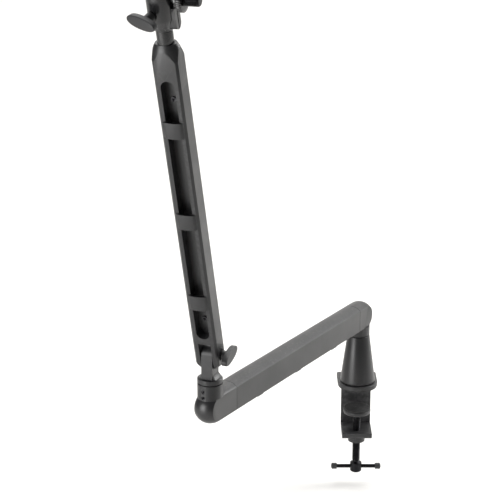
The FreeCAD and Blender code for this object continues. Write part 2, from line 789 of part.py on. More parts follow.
def front_end_cap():
    """Rounded front end with the upright collar that carries the elbow."""
    place = "lower_length"
    back = f"0 - ( {place} )"
    neck = rod(("0", back, "lower_height"), None, "collar_radius", "collar_top - lower_height")
    dome = solid("Sphere", at=("0", back, "lower_height"), Radius="collar_radius")
    seam = f"{place} - front_seam"
    body = fuse(ball_end(place), bar(seam, place), neck, dome,
                inner_bar(f"{seam} - lower_spigot", f"{seam} + 1", "spigot_gap"))
    bore = rod(("0", back, FRONT_SEAT), None, BUSH_SEAT, f"collar_top - {FRONT_SEAT} + 1")
    half = "room_width / 2"
    room = box((f"0 - {half}", f"{back} - {half}", f"{FRONT_SEAT} - room_height"),
               (half, f"{back} + {half}", FRONT_SEAT))
    hatch = box((f"0 - {half} + 2", f"{back} - {half} + 2", "lower_height - lower_radius - 2"),
                (f"{half} - 2", f"{back} + {half} - 2", f"{FRONT_SEAT} - room_height + 1"))
    slot = channel_tool(f"{seam} - 1", f"{place} - collar_radius - 2")
    holes = lower_screw_tools("screw_radius + tapped_gap", "lower_height - lower_web",
                              "lower_web + seat_above")[2:]
    grubs = grub_tools("grub_radius + tapped_gap", f"collar_radius + 1 - {BUSH_SEAT}", BUSH_SEAT)
    trims = flat_trims(place, "lower_height - lower_radius", "lower_height + flat_ledge")
    groove = seam_groove(f"{seam} - 0.5", f"{seam} + seam_gap")
    return keep(cut(body, *trims, bore, room, hatch, slot, *holes, *grubs, groove),
                "front_end_cap", "Lower")


def grub_tools(radius, length, start):
    """Two rods through the front of the collar, one above the other."""
    tools = []
    for number in range(2):
        height = f"collar_top - grub_upper - {number} * grub_step"
        tools.append(rod(("0", f"0 - lower_length - ( {start} )", height), "-y", radius, length))
    return tools


def collar_grub_screws():
    """Two hex socket grub screws that press on the elbow bush."""
    shanks = grub_tools("grub_radius", "grub_length", f"{BUSH_SEAT} + press_gap")
    sockets = grub_tools("grub_radius * 0.5", "2.4", f"{BUSH_SEAT} + grub_length - 2")
    screws = [cut(shank, socket) for shank, socket in zip(shanks, sockets)]
    return keep(group(*screws), "collar_grub_screws", "Lower")


def lower_arm_screws():
    """Four screws up through the channel web into the end caps."""
    shanks = lower_screw_tools("screw_radius", "lower_height - lower_web", "lower_web")
    heads = lower_screw_tools("screw_head_radius", "lower_height - lower_web - screw_head_height",
                              "screw_head_height")
    sockets = lower_screw_tools("screw_radius * 0.6",
                                "lower_height - lower_web - screw_head_height", "1.2")
    screws = [cut(fuse(shank, head), socket)
              for shank, head, socket in zip(shanks, heads, sockets)]
    return keep(group(*screws), "lower_arm_screws", "Lower")


def bush(label, frame_name, back, low, high):
    """Plain sleeve between a shaft and its seat."""
    outer = rod(("0", back, low), None, f"{BUSH_SEAT} - press_gap", f"( {high} ) - ( {low} )")
    hole = rod(("0", back, low), None, "shaft_radius + running_gap", f"( {high} ) - ( {low} )")
    return keep(cut(outer, hole), label, frame_name)


def lower_cable_clips():
    """Three straps that close the channel under the lower arm."""
    clips = []
    half = "lower_channel_width / 2 - press_gap"
    for share in (0.2, 0.5, 0.8):
        centre = f"( rear_seam + ( lower_length - front_seam - rear_seam ) * {share} )"
        low = f"{centre} - lower_clip_length / 2"
        high = f"{centre} + lower_clip_length / 2"
        reach = f"{half} + clip_lip"
        shell = cut(bar(low, high, "lower_radius + clip_thick + clip_lift", f"2 * ( {reach} )"),
                    bar(f"{low} - 1", f"{high} + 1", "lower_radius + clip_lift", "lower_width + 2"))
        strap = cut(shell, box(("0 - 40", f"0 - ( {high} ) - 1", "lower_height"),
                               ("40", f"0 - ( {low} ) + 1", "lower_height + 40")))
        legs = []
        for side in ("-", ""):
            edge = (f"0 - ( {half} )", f"0 - ( {half} ) + clip_thick")
            pair = edge if side else (f"{half} - clip_thick", half)
            legs.append(box((pair[0], f"0 - ( {high} )", "lower_height - lower_radius + 0.6"),
                            (pair[1], f"0 - ( {low} )", "lower_height - lower_web - 6")))
            legs.append(box((pair[0], f"0 - ( {high} )", "lower_height - lower_radius - clip_lift - 0.6"),
                            (pair[1], f"0 - ( {low} )", "lower_height - lower_radius + 0.7")))
        clips.append(fuse(strap, *legs))
    return keep(group(*clips), "lower_cable_clips", "Lower")


# --------------------------------------------------------------------------- elbow
def elbow_post():
    """Turned post with a flat tang that the upper arm tilts on."""
    make = Builder("elbow_post", "Elbow")
    groove = f"{FRONT_SEAT} - face_gap - ring_thick"
    low = f"{groove} - 3"
    inner = "shaft_radius - ring_depth"
    points = [("0", low), ("shaft_radius - 1", low), ("shaft_radius", f"{low} + 1"),
              ("shaft_radius", groove), (inner, groove), (inner, f"{groove} + ring_thick"),
              ("shaft_radius", f"{groove} + ring_thick"), ("shaft_radius", POST_LOW),
              ("collar_radius", POST_LOW), ("collar_radius", f"{POST_TOP} - 0.8"),
              ("collar_radius - 0.8", POST_TOP), ("0", POST_TOP)]
    make.revolve(make.sketch("XZ_Plane", points))
    half = "tang_depth / 2"
    tang = [(f"0 - {half}", f"{POST_TOP} - 1"), (half, f"{POST_TOP} - 1"), (half, "pivot_height"),
            (f"0 - {half}", "pivot_height")]
    make.pad(make.sketch("YZ_Plane", tang), "tang_thick", middle=True)
    top = make.sketch("YZ_Plane", circles=[("0", "pivot_height", half)])
    make.pad(top, "tang_thick", middle=True)
    reach = "tang_thick / 2 + wedge_width"
    wedge = [(f"0 - ( {reach} )", f"{POST_TOP} - 0.5"), (reach, f"{POST_TOP} - 0.5"),
             (reach, POST_TOP), ("tang_thick / 2", f"{POST_TOP} + wedge_height"),
             ("0 - tang_thick / 2", f"{POST_TOP} + wedge_height"), (f"0 - ( {reach} )", POST_TOP)]
    make.pad(make.sketch("XZ_Plane", wedge), "tang_depth - 4", middle=True)
    hole = make.sketch("YZ_Plane", circles=[("0", "pivot_height", "bolt_radius + running_gap")])
    make.pocket(hole)
    return make.keep()


def friction_discs():
    """Two thin discs between the tang and the ears of the fork."""
    discs = []
    for side in (-1, 1):
        face = "tang_thick / 2" if side > 0 else "0 - tang_thick / 2 - disc_thick"
        disc = rod((face, "0", "pivot_height"), "x", "disc_radius", "disc_thick")
        hole = rod((face, "0", "pivot_height"), "x", "bolt_radius + running_gap", "disc_thick")
        discs.append(cut(disc, hole))
    return keep(group(*discs), "friction_discs", "Elbow")


# ----------------------------------------------------------------------- upper arm
def section(inset="0"):
    """Corners of the chamfered rectangle of the upper arm, or of a smaller or larger one."""
    a = f"( upper_width / 2 - {inset} )"
    b = f"( upper_thick / 2 - {inset} )"
    c = "upper_chamfer"
    return [(f"0 - {a}", f"0 - {b} + {c}"), (f"0 - {a} + {c}", f"0 - {b}"),
            (f"{a} - {c}", f"0 - {b}"), (a, f"0 - {b} + {c}"), (a, f"{b} - {c}"),
            (f"{a} - {c}", b), (f"0 - {a} + {c}", b), (f"0 - {a}", f"{b} - {c}")]


def spigot_outline(gap):
    """Corners of the flat room behind the channel floor."""
    a = f"upper_width / 2 - upper_wall - {gap}"
    low = f"{FLOOR} + upper_wall + {gap}"
    high = f"upper_thick / 2 - upper_wall - {gap}"
    return [(f"0 - ( {a} )", low), (a, low), (a, high), (f"0 - ( {a} )", high)]


def upper_arm_tube():
    """Aluminium extrusion with an open cable channel in the front face."""
    make = Builder("upper_arm_tube", "Upper")
    make.pad(make.sketch("XY_Plane", section(), lift="fork_seam"), "cap_seam - fork_seam")
    make.pocket(make.sketch("XY_Plane", spigot_outline("0"), lift="cap_seam"),
                "cap_seam - fork_seam")
    half = "upper_channel_width / 2"
    start = f"channel_low + {half}"
    outline = [(f"0 - {half}", start), (half, start), (half, "cap_seam + 1"),
               (f"0 - {half}", "cap_seam + 1")]
    lift = f"0 - {FLOOR}"
    make.pocket(make.sketch("XZ_Plane", outline, lift=lift), "upper_channel_depth + 1", back=True)
    make.pocket(make.sketch("XZ_Plane", circles=[("0", start, half)], lift=lift),
                "upper_channel_depth + 1", back=True)
    circles = [("0", place, "screw_radius + tapped_gap") for place in ("low_screw", "high_screw")]
    make.pocket(make.sketch("XZ_Plane", circles=circles, lift=f"0 - {FLOOR} - upper_wall - 1"),
                "upper_wall + 2", back=True)
    return make.keep()


def fork_end():
    """Lower end of the upper arm: two rounded ears and a spigot."""
    upper = prism(section(), "0", "fork_seam")
    lower = common(prism(section(), "0 - fork_reach", "0"),
                   solid("Sphere", at=("0", "0", "0"), Radius="fork_reach"))
    spigot = prism(spigot_outline("spigot_gap"), "fork_seam - 1", "fork_seam + fork_spigot")
    half = "tang_thick / 2 + disc_thick + disc_gap"
    slot = box((f"0 - ( {half} )", "0 - upper_thick", "0 - fork_reach - 1"),
               (half, "upper_thick", "fork_slot"))
    bolt = rod(("0 - upper_width", "0", "0"), "x", "bolt_radius + tapped_gap", "2 * upper_width")
    sink = rod(("0 - upper_width / 2 - 1", "0", "0"), "x", "bolt_head_radius + tapped_gap",
               "bolt_head_depth + 1")
    hole = rod(("0", FLOOR, "low_screw"), "y", "screw_radius + tapped_gap", "upper_thick / 2")
    return keep(cut(fuse(upper, lower, spigot), slot, bolt, sink, hole), "fork_end", "Upper")


def dome(low, high, half_low, half_high):
    """Cone of oval section, wider across the arm than it is deep, between two heights."""
    rings = []
    for height, half in ((low, half_low), (high, half_high)):
        ring = document.addObject("Part::Ellipse", "ring")
        ring.setExpression("MajorRadius", ref(f"( {half} ) * dome_stretch"))
        ring.setExpression("MinorRadius", ref(half))
        ring.setExpression("Placement.Base.z", ref(height))
        rings.append(ring)
    item = document.addObject("Part::Loft", "dome")
    item.Sections = rings
    item.Solid = True
    item.Ruled = True
    return item


def upper_end_cap():
    """Upper end of the arm: the channel runs out in it, and its top is domed."""
    block = prism(section(), "cap_seam", "upper_length")
    spigot = prism(spigot_outline("spigot_gap"), "cap_seam - cap_spigot", "cap_seam + 1")
    turn_in = "( upper_thick / 2 - ( shoulder_height - dome_arch ) * dome_slope )"
    flank = dome("cap_seam - 1", "upper_length + 1",
                 "upper_thick / 2 + ( dome_arch - cap_seam + 1 ) * dome_slope",
                 "upper_thick / 2 - ( upper_length + 1 - dome_arch ) * dome_slope")
    crown = dome("cap_seam - 1", "upper_length + 1",
                 f"{turn_in} + ( shoulder_height - cap_seam + 1 ) * shoulder_slope",
                 f"{turn_in} - ( upper_length + 1 - shoulder_height ) * shoulder_slope")
    shaped = common(block, flank, crown)
    half = "upper_channel_width / 2"
    channel = fuse(
        box((f"0 - {half}", "0 - upper_thick", "cap_seam - 1"),
            (half, FLOOR, f"channel_high - {half}")),
        rod(("0", "0 - upper_thick", f"channel_high - {half}"), "y", half,
            f"upper_thick + {FLOOR}"))
    socket = rod(("0", "0", "upper_length - stem_socket_depth"), None,
                 "stem_socket_radius + tapped_gap", "stem_socket_depth + 1")
    screw = rod(("0", "0", "upper_length - stem_socket_depth * 0.6"), "y",
                "stem_screw_radius + tapped_gap", "upper_thick")
    hole = rod(("0", FLOOR, "high_screw"), "y", "screw_radius + tapped_gap", "upper_thick / 2")
    groove = cut(prism(section("0 - 1"), "cap_seam - 1", "cap_seam + seam_gap"),
                 prism(section("seam_depth"), "cap_seam - 2", "cap_seam + seam_gap + 1"))
    return keep(cut(fuse(shaped, spigot), channel, socket, screw, hole, groove),
                "upper_end_cap", "Upper")


def channel_screws():
    """Two cross-recess screws in the channel floor that hold the end pieces."""
    screws = []
    for place in ("low_screw", "high_screw"):
        shank = rod(("0", FLOOR, place), "y", "screw_radius", "screw_grip")
        head = rod(("0", f"{FLOOR} - screw_head_height", place), "y", "screw_head_radius",
                   "screw_head_height")
        arm = "screw_head_radius * 0.6"
        cross = []
        for wide, tall in ((arm, "0.5"), ("0.5", arm)):
            cross.append(box((f"0 - {wide}", f"{FLOOR} - screw_head_height - 1", f"{place} - {tall}"),
                             (wide, f"{FLOOR} - screw_head_height + 1.2", f"{place} + {tall}")))
        screws.append(cut(fuse(shank, head), *cross))
    return keep(group(*screws), "channel_screws", "Upper")


def upper_cable_clips():
    """Three bowed straps over the channel, each with a slit beside its free end."""
    clips = []
    half = "clip_width / 2"
    inside = "upper_channel_width / 2 - spigot_gap"
    front = "upper_thick / 2"
    for place in ("clip_low", "clip_middle", "clip_high"):
        low = f"{place} - clip_length / 2"
        high = f"{place} + clip_length / 2"
        bow = f"( clip_width * clip_width / ( 8 * clip_rise ) + clip_rise / 2 )"
        centre = f"{bow} - clip_rise - clip_thick - {front} - 0.1"
        outer = rod(("0", centre, low), None, bow, "clip_length")
        inner = rod(("0", centre, f"{low} - 1"), None, f"{bow} - clip_thick", "clip_length + 2")
        window = box((f"0 - {half}", f"0 - {front} - clip_rise - clip_thick - 1", low),
                     (half, f"0 - {front} - 0.1", high))
        strap = common(cut(outer, inner), window)
        slit = box((f"{half} - 5", f"0 - {front} - 10", f"{low} - 1"),
                   (f"{half} - 5 + clip_slit", f"0 - {front}", f"{low} + clip_length * 0.8"))
        legs = []
        for side in (-1, 1):
            left = f"0 - ( {inside} )" if side < 0 else f"{inside} - clip_thick"
            right = f"0 - ( {inside} ) + clip_thick" if side < 0 else inside
            legs.append(box((left, f"0 - {front} - clip_rise", low),
                            (right, f"0 - {front} + clip_leg", high)))
        clips.append(cut(fuse(strap, *legs), slit))
    return keep(group(*clips), "upper_cable_clips", "Upper")


def elbow_bolt():
    """Bolt through the fork; its head is sunk in the left ear."""
    start = "0 - upper_width / 2 + 0.4"
    head = rod((start, "0", "0"), "x", "bolt_head_radius", "bolt_head_depth - 0.4")
    reach = "upper_width / 2 + thrust_washer + elbow_hub_length + wing_thick - 3"
    shank = rod((start, "0", "0"), "x", "bolt_radius", f"upper_width / 2 - 0.4 + {reach}")
    socket = rod((start, "0", "0"), "x", "bolt_radius * 0.6", "2.5")
    keep(cut(fuse(head, shank), socket), "elbow_bolt", "Upper")
    face = "upper_width / 2"
    disc = rod((face, "0", "0"), "x", "thrust_radius", "thrust_washer")
    hole = rod((face, "0", "0"), "x", "bolt_radius + running_gap", "thrust_washer")
    keep(cut(disc, hole), "thrust_washer", "Upper")


def wing(hub_length, hub_start):
    """Oval wing on a short tapered hub, drawn along +X and long in Z."""
    small = "wing_hub_small"
    hub = solid("Cone", at=(hub_start, "0", "0"), axis="x", Radius1="wing_hub_radius",
                Radius2=small, Height=f"{hub_length} + 1")
    start = f"{hub_start} + {hub_length}"
    reach = "( wing_long - wing_wide ) / 2"
    ends = []
    for side in ("", "0 - "):
        ends.append(rod((start, "0", f"{side}{reach}"), "x", "wing_wide / 2", "wing_thick"))
    slab = box((start, "0 - wing_wide / 2", f"0 - {reach}"),
               (f"{start} + wing_thick", "wing_wide / 2", reach))
    belly = solid("Sphere", at=(f"{start} + wing_thick / 2", "0", "0"), Radius="wing_long / 2")
    return fuse(hub, common(fuse(slab, *ends), belly))


def spun(item, axis, angle):
    """The item turned about an axis through the origin."""
    holder = document.addObject("Part::Compound", "turned")
    holder.Links = [item]
    direction = {"x": Vector(1, 0, 0), "z": Vector(0, 0, 1)}[axis]
    holder.Placement = Placement(Vector(0, 0, 0), Rotation(direction, value(angle)))
    holder.setExpression("Placement.Rotation.Angle", ref(angle))
    return holder


def elbow_wing():
    """Wing that tightens the elbow, and the threaded insert moulded in it."""
    start = "upper_width / 2 + thrust_washer + face_gap"
    length = "elbow_hub_length"
    body = spun(wing(length, start), "x", "elbow_wing_turn")
    insert_length = f"{length} + wing_thick - 2.5"
    bore = rod((f"{start} - 1", "0", "0"), "x", "bolt_radius + 1.2 + press_gap",
               f"{insert_length} + 1")
    keep(cut(body, bore), "elbow_wing", "Upper")
    sleeve = rod((start, "0", "0"), "x", "bolt_radius + 1.2", insert_length)
    thread = rod((f"{start} - 1", "0", "0"), "x", "bolt_radius + running_gap",
                 f"{insert_length} + 2")
    keep(cut(sleeve, thread), "elbow_wing_insert", "Upper")


# ---------------------------------------------------------------------------- head
def head_stem():
    """Turned stem with a foot in the arm, a groove and the pivot of the head."""
    make = Builder("head_stem", "Head")
    groove = "stem_height + stem_pivot_length - 3"
    top = "stem_height + stem_pivot_length"
    inner = "stem_pivot_radius - ring_depth"
    points = [("0", "1 - stem_socket_depth"), ("stem_socket_radius", "1 - stem_socket_depth"),
              ("stem_socket_radius", "0"), ("stem_radius - 0.6", "0"), ("stem_radius", "0.6"),
              ("stem_radius", "stem_height - 0.8"), ("stem_radius - 0.8", "stem_height"),
              ("stem_pivot_radius", "stem_height"), ("stem_pivot_radius", groove),
              (inner, groove), (inner, f"{groove} + ring_thick"),
              ("stem_pivot_radius", f"{groove} + ring_thick"), ("stem_pivot_radius", top),
              ("0", top)]
    make.revolve(make.sketch("XZ_Plane", points))
    make.keep()
    low = "upper_length - stem_socket_depth * 0.6"
    screw = rod(("0", "stem_socket_radius + press_gap", low), "y", "stem_screw_radius",
                "upper_thick / 2 - stem_socket_radius - 1.5")
    socket = rod(("0", "upper_thick / 2 - 3", low), "y", "stem_screw_radius * 0.5", "3")
    keep(cut(screw, socket), "stem_grub_screw", "Upper")
    retaining_ring("head_clip", "Head", groove, "stem_pivot_radius", "ring_width")


def head_housing():
    """Ball housing: tapered foot, round body, ball room, side notch and split ear."""
    low = "stem_height"
    foot = rod(("0", "0", low), None, "housing_low_radius", f"housing_step - {low} + 1")
    taper = solid("Cone", at=("0", "0", "housing_step"), Radius1="housing_low_radius",
                  Radius2="housing_radius", Height="housing_taper")
    body = rod(("0", "0", "housing_step + housing_taper"), None, "housing_radius",
               "housing_top - housing_step - housing_taper")
    ear = box(("0", "0 - ear_width / 2", "ear_low + ear_width / 2"),
              ("ear_reach", "ear_width / 2", "ear_high"))
    toe = rod(("0", "0", "ear_low + ear_width / 2"), "x", "ear_width / 2", "ear_reach")
    outer = fuse(foot, taper, body, ear, toe)
    room = solid("Sphere", at=("0", "0", "ball_height"), Radius="ball_radius + ball_gap")
    mouth = solid("Cone", at=("0", "0", "ball_height + mouth_rise"), Radius1="ball_radius - 1.8",
                  Radius2="ball_radius + 2", Height="housing_top - ball_height - mouth_rise + 0.1")
    half = "notch_width / 2"
    notch = fuse(
        box(("0", f"0 - {half}", "ball_height"), ("ear_reach + 1", half, "housing_top + 1")),
        rod(("0", "0", "ball_height"), "x", half, "ear_reach + 1"))
    seat_bore = rod(("0", "0", "stem_height + stem_pivot_length + 1"), None,
                    "seat_radius + running_gap", "ball_height - stem_height - stem_pivot_length - 1")
    pivot_bore = rod(("0", "0", f"{low} - 1"), None, "stem_pivot_radius + running_gap",
                     "stem_pivot_length - 3 - face_gap + 1")
    ring_room = rod(("0", "0", f"{low} + stem_pivot_length - 3 - face_gap"), None,
                    "seat_radius + running_gap", "4 + face_gap + 0.1")
    split = box(("ear_reach - split_depth", "0 - split_width / 2", "ear_low + 1"),
                ("ear_reach + 1", "split_width / 2", "ball_height"))
    lock = solid("Cylinder", at=("0", "0", "0"), axis="-y", Radius="lock_radius + running_gap",
                 Height="housing_radius + 10")
    turned = spun(lock, "z", "0 - lock_turn")
    turned.setExpression("Placement.Base.z", ref("lock_height"))
    return keep(cut(outer, room, mouth, notch, seat_bore, pivot_bore, ring_room, split, turned),
                "head_housing", "Head")


def ball_seat():
    """Cup under the ball; the tip of the lock screw lifts it by its cone."""
    low = "lock_height - lock_radius - 4"
    high = "ball_height - 4"
    body = rod(("0", "0", low), None, "seat_radius", f"{high} - ( {low} )")
    cup = solid("Sphere", at=("0", "0", "ball_height"), Radius="ball_radius + ball_gap")
    hole = solid("Cylinder", at=("0", "0", "0"), axis="-y", Radius="lock_radius + 0.4",
                 Height="housing_radius")
    turned = spun(hole, "z", "0 - lock_turn")
    turned.setExpression("Placement.Base.z", ref("lock_height"))
    return keep(cut(body, cup, turned), "ball_seat", "Head")


def head_wing():
    """Lock screw of the ball and the wing moulded on it, drawn along -Y."""
    length = "lock_hub_length"
    start = "housing_radius + 0.6"
    tip = rod(("0", "0 - lock_inset", "0"), "-y", "lock_radius",
              f"{start} + {length} + wing_thick - 3 - lock_inset")
    keep(tip, "head_lock_screw", "Lock")
    base = wing(length, start)
    holder = document.addObject("Part::Compound", "turned")
    holder.Links = [spun(base, "x", "lock_wing_turn")]
    holder.Placement = Placement(Vector(0, 0, 0), Rotation(Vector(0, 0, 1), -90))
    bore = rod(("0", f"1 - ( {start} )", "0"), "-y", "lock_radius + press_gap",
               f"{length} + wing_thick - 2")
    keep(cut(holder, bore), "head_wing", "Lock")


def ball_stud():
    """Ball with its neck and flange, the threaded stud and the ring that locks on it."""
    ball = solid("Sphere", Radius="ball_radius")
    neck = rod(("ball_radius * 0.7", "0", "0"), "x", "neck_radius",
               "flange_start - ball_radius * 0.7 + 1")
    flange = rod(("flange_start", "0", "0"), "x", "flange_radius", "flange_thick")
    end = "flange_start + flange_thick"
    peg = rod((f"{end} - 1", "0", "0"), "x", "neck_radius", "13")
    keep(fuse(ball, neck, flange, peg), "ball_and_flange", "Ball")
    tip = "stud_tip"
    shank = rod((end, "0", "0"), "x", "stud_radius", f"stud_length - {tip}")
    nose = solid("Cone", at=(f"{end} + stud_length - {tip}", "0", "0"), axis="x",
                 Radius1="stud_radius", Radius2=f"stud_radius - {tip}", Height=tip)
    socket = rod((f"{end} - 1", "0", "0"), "x", "neck_radius + press_gap", "13.2")
    place = f"{end} + lock_ring_gap"
    seat_end = f"{place} + lock_ring_thick + 0.2"
    relief = cut(rod((seat_end, "0", "0"), "x", "stud_radius + 1", "stud_relief"),
                 rod((f"{seat_end} - 1", "0", "0"), "x", "stud_radius - 0.6", "stud_relief + 2"))
    keep(cut(fuse(shank, nose), socket, relief), "mic_stud", "Ball")
    outer = rod((place, "0", "0"), "x", "lock_ring_radius", "lock_ring_thick")
    bore = rod((f"{place} - 1", "0", "0"), "x", "stud_radius + running_gap", "lock_ring_thick + 2")
    keep(cut(outer, bore), "lock_ring", "Ball")


# -------------------------------------------------------------------------- build
def build():
    """Makes every piece."""
    clamp_frame()
    top_jaw_pad()
    riser_cone()
    riser_screws()
    swivel_shaft()
    shaft_bolt()
    washer("riser_washer", "Clamp", RISER_TOP)
    retaining_ring("swivel_clip", "Clamp", f"{REAR_SEAT} + face_gap", "shaft_radius",
                   "ring_width")
    presser()
    clamp_spindle()
    lower_arm_tube()
    rear_end_cap()
    front_end_cap()
    bush("swivel_bush", "Lower", "0", NECK_LOW, REAR_SEAT)
    bush("elbow_bush", "Lower", "0 - lower_length", FRONT_SEAT, "collar_top")
    collar_grub_screws()
    lower_arm_screws()
    lower_cable_clips()
    washer("elbow_washer", "Elbow", "collar_top")
    elbow_post()
    retaining_ring("elbow_clip", "Elbow", f"{FRONT_SEAT} - face_gap - ring_thick",
                   "shaft_radius", "ring_width")
    friction_discs()
    upper_arm_tube()
    fork_end()
    upper_end_cap()
    channel_screws()
    upper_cable_clips()
    elbow_bolt()
    elbow_wing()
    head_stem()
    head_housing()
    ball_seat()
    head_wing()
    ball_stud()


def check_and_write():
    """Refuses a failed feature or an empty, invalid or open piece, then writes them."""
    document.recompute()
    for item in document.Objects:
        if "Invalid" in item.State or "Error" in item.State:
            raise RuntimeError(f"{item.Label} did not recompute")
    for piece in PARTS:
        shape = piece.Shape
        if shape.isNull() or not shape.isValid() or not shape.Solids:
            raise RuntimeError(f"{piece.Label} has no valid solid")
        if shape.Volume <= 0:
            raise RuntimeError(f"{piece.Label} is inside out")
    for piece in PARTS:
        piece.Shape.exportStep(f"parts/{piece.Label}.step")
        print(piece.Label, len(piece.Shape.Solids), round(piece.Shape.Volume))


build()
check_and_write()
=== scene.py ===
"""Looks of a desk-clamp boom arm for a microphone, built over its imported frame."""
import json
import logging
import math
from dataclasses import dataclass, field
from enum import Enum

import bmesh
import bpy
import numpy as np
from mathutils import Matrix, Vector


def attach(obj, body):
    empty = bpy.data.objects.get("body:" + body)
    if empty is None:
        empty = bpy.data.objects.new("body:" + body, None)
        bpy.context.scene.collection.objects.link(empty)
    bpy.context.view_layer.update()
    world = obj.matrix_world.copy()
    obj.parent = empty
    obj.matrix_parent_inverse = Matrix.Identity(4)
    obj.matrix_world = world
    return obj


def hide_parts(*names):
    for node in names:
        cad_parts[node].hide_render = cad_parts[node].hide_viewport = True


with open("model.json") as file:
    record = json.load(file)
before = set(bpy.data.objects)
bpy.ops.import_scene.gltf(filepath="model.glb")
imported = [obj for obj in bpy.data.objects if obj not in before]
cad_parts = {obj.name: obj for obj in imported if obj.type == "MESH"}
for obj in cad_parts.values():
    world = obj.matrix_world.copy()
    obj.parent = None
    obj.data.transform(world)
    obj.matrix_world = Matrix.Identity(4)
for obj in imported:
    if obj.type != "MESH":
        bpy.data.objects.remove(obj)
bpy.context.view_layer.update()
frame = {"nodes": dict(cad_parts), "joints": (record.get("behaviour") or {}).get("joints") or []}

MM = 0.001
DARK_TONE = 0.82                      # a coat's dark grain over its light grain
DUST_COLOUR = (0.22, 0.21, 0.20)
GRAIN_HEIGHT = 0.0002                 # metres that a grain height of one stands up
WELD = 2e-6                           # vertices nearer than this many metres are merged
SHAFT_RADIUS = 7.05                   # bore of the washers and of the riser's web
WASHER_RADIUS = 15.4
WASHER_THICK = 1.5
SIDEWAYS = np.array([1.0, 0.0, 0.0])
LOG = logging.getLogger("boom_arm")
Array = np.ndarray


# --- places
@dataclass(frozen=True)
class Place:
    """A local frame of the object at rest: forward is -Y, right is +X, up is +Z."""

    origin: Array
    axes: Array

    def put(self, points: Array) -> Array:
        """Turns local millimetres into metres of the object's own frame.

        Args:
            points: array whose last axis holds local x, y and z.

        Returns:
            Array of the same shape: origin plus the axes weighted by the coordinates.
        """
        return self.origin + np.asarray(points, float) * MM @ self.axes.T

    def moved(self, x: float = 0.0, y: float = 0.0, z: float = 0.0) -> "Place":
        """The same frame with its origin moved by local millimetres."""
        return Place(self.put(np.array([x, y, z])), self.axes)

    def lying(self, along: Array) -> "Place":
        """A frame at the same origin whose Z runs along a local direction.

        Args:
            along: direction in local coordinates.

        Returns:
            The frame; its X is the local direction least like it, made square to it.
        """
        up = self.axes @ (np.asarray(along, float) / np.linalg.norm(along))
        guess = self.axes[:, int(np.argmin(np.abs(along)))]
        right = guess - up * float(guess @ up)
        right = right / np.linalg.norm(right)
        return Place(self.origin, np.stack([right, np.cross(up, right), up], axis=1))


def joint_facts(name: str) -> tuple[Array, Array]:
    """Point and axis of a joint at rest.

    Args:
        name: the joint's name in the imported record.

    Returns:
        The point in metres and the unit axis.
    """
    joint = next(item for item in frame["joints"] if item["name"] == name)
    return np.array(joint.get("pos_m", (0, 0, 0)), float), np.array(joint["axis"], float)


def frames() -> dict[str, Place]:
    """Local frames of the arm's bodies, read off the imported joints.

    Returns:
        Name of each body's frame to its place.
    """
    up = np.array([0.0, 0.0, 1.0])
    clamp = Place(np.zeros(3), np.eye(3))
    elbow_point, _ = joint_facts("elbow_swivel")
    ahead = np.array([elbow_point[0], elbow_point[1], 0.0])
    ahead /= np.linalg.norm(ahead)
    lower = Place(np.zeros(3), np.stack([np.cross(up, ahead), -ahead, up], axis=1))
    pivot, right = joint_facts("upper_tilt")
    elbow_axes = np.stack([right, np.cross(up, right), up], axis=1)
    elbow = Place(np.array([elbow_point[0], elbow_point[1], 0.0]), elbow_axes)
    stem, along = joint_facts("head_swivel")
    upper_axes = np.stack([right, np.cross(along, right), along], axis=1)
    upper = Place(pivot, upper_axes)
    ball_point, _ = joint_facts("stud_tilt")
    _, stud = joint_facts("lock_ring_turn")
    head_axes = np.stack([stud, np.cross(along, stud), along], axis=1)
    lock_point, lock_axis = joint_facts("head_wing_turn")
    lock_axes = np.stack([np.cross(-lock_axis, along), -lock_axis, along], axis=1)
    return {
        "clamp": clamp, "lower": lower, "elbow": elbow, "upper": upper,
        "head": Place(stem, head_axes), "ball": Place(ball_point, head_axes),
        "lock": Place(lock_point, lock_axes),
    }


# --- shapes
def rounded(corners: list[tuple[float, float, float]], steps: int = 5,
            closed: bool = True) -> Array:
    """Outline whose corners are circular arcs.

    Each corner's arc touches its two sides at radius times the tangent of half the turn
    from the corner, and its points are evenly spaced in angle about the arc's centre.

    Args:
        corners: x, y and radius of each corner in order.
        steps: spans in each arc.
        closed: whether the last corner joins the first.

    Returns:
        Points of the outline, one row each.
    """
    data = np.array(corners, float)
    count = len(data)
    pieces = []
    for index, (x, y, radius) in enumerate(data):
        here = np.array([x, y])
        if radius <= 0 or (not closed and index in (0, count - 1)):
            pieces.append(here[None])
            continue
        before = data[index - 1, :2] - here
        after = data[(index + 1) % count, :2] - here
        before /= np.linalg.norm(before)
        after /= np.linalg.norm(after)
        half = math.acos(float(np.clip(before @ after, -1, 1))) / 2
        middle = (before + after) / np.linalg.norm(before + after)
        centre = here + middle * radius / math.sin(half)
        start = here + before * radius / math.tan(half) - centre
        end = here + after * radius / math.tan(half) - centre
        first = math.atan2(start[1], start[0])
        sweep = math.atan2(start[0] * end[1] - start[1] * end[0], float(start @ end))
        angles = first + sweep * np.linspace(0, 1, steps + 1)
        pieces.append(centre + radius * np.stack([np.cos(angles), np.sin(angles)], axis=1))
    return np.concatenate(pieces)


def outline_normals(outline: Array) -> Array:
    """Unit normals of a closed outline, to the right of its direction of travel."""
    along = np.roll(outline, -1, axis=0) - np.roll(outline, 1, axis=0)
    normal = np.stack([along[:, 1], -along[:, 0]], axis=1)
    return normal / np.maximum(np.linalg.norm(normal, axis=1, keepdims=True), 1e-9)


def counter_clockwise(outline: Array) -> Array:
    """The outline in counter-clockwise order, by the sign of its area."""
    x, y = outline.T
    area = float(np.sum(x * np.roll(y, -1) - y * np.roll(x, -1)))
    return outline if area > 0 else outline[::-1]


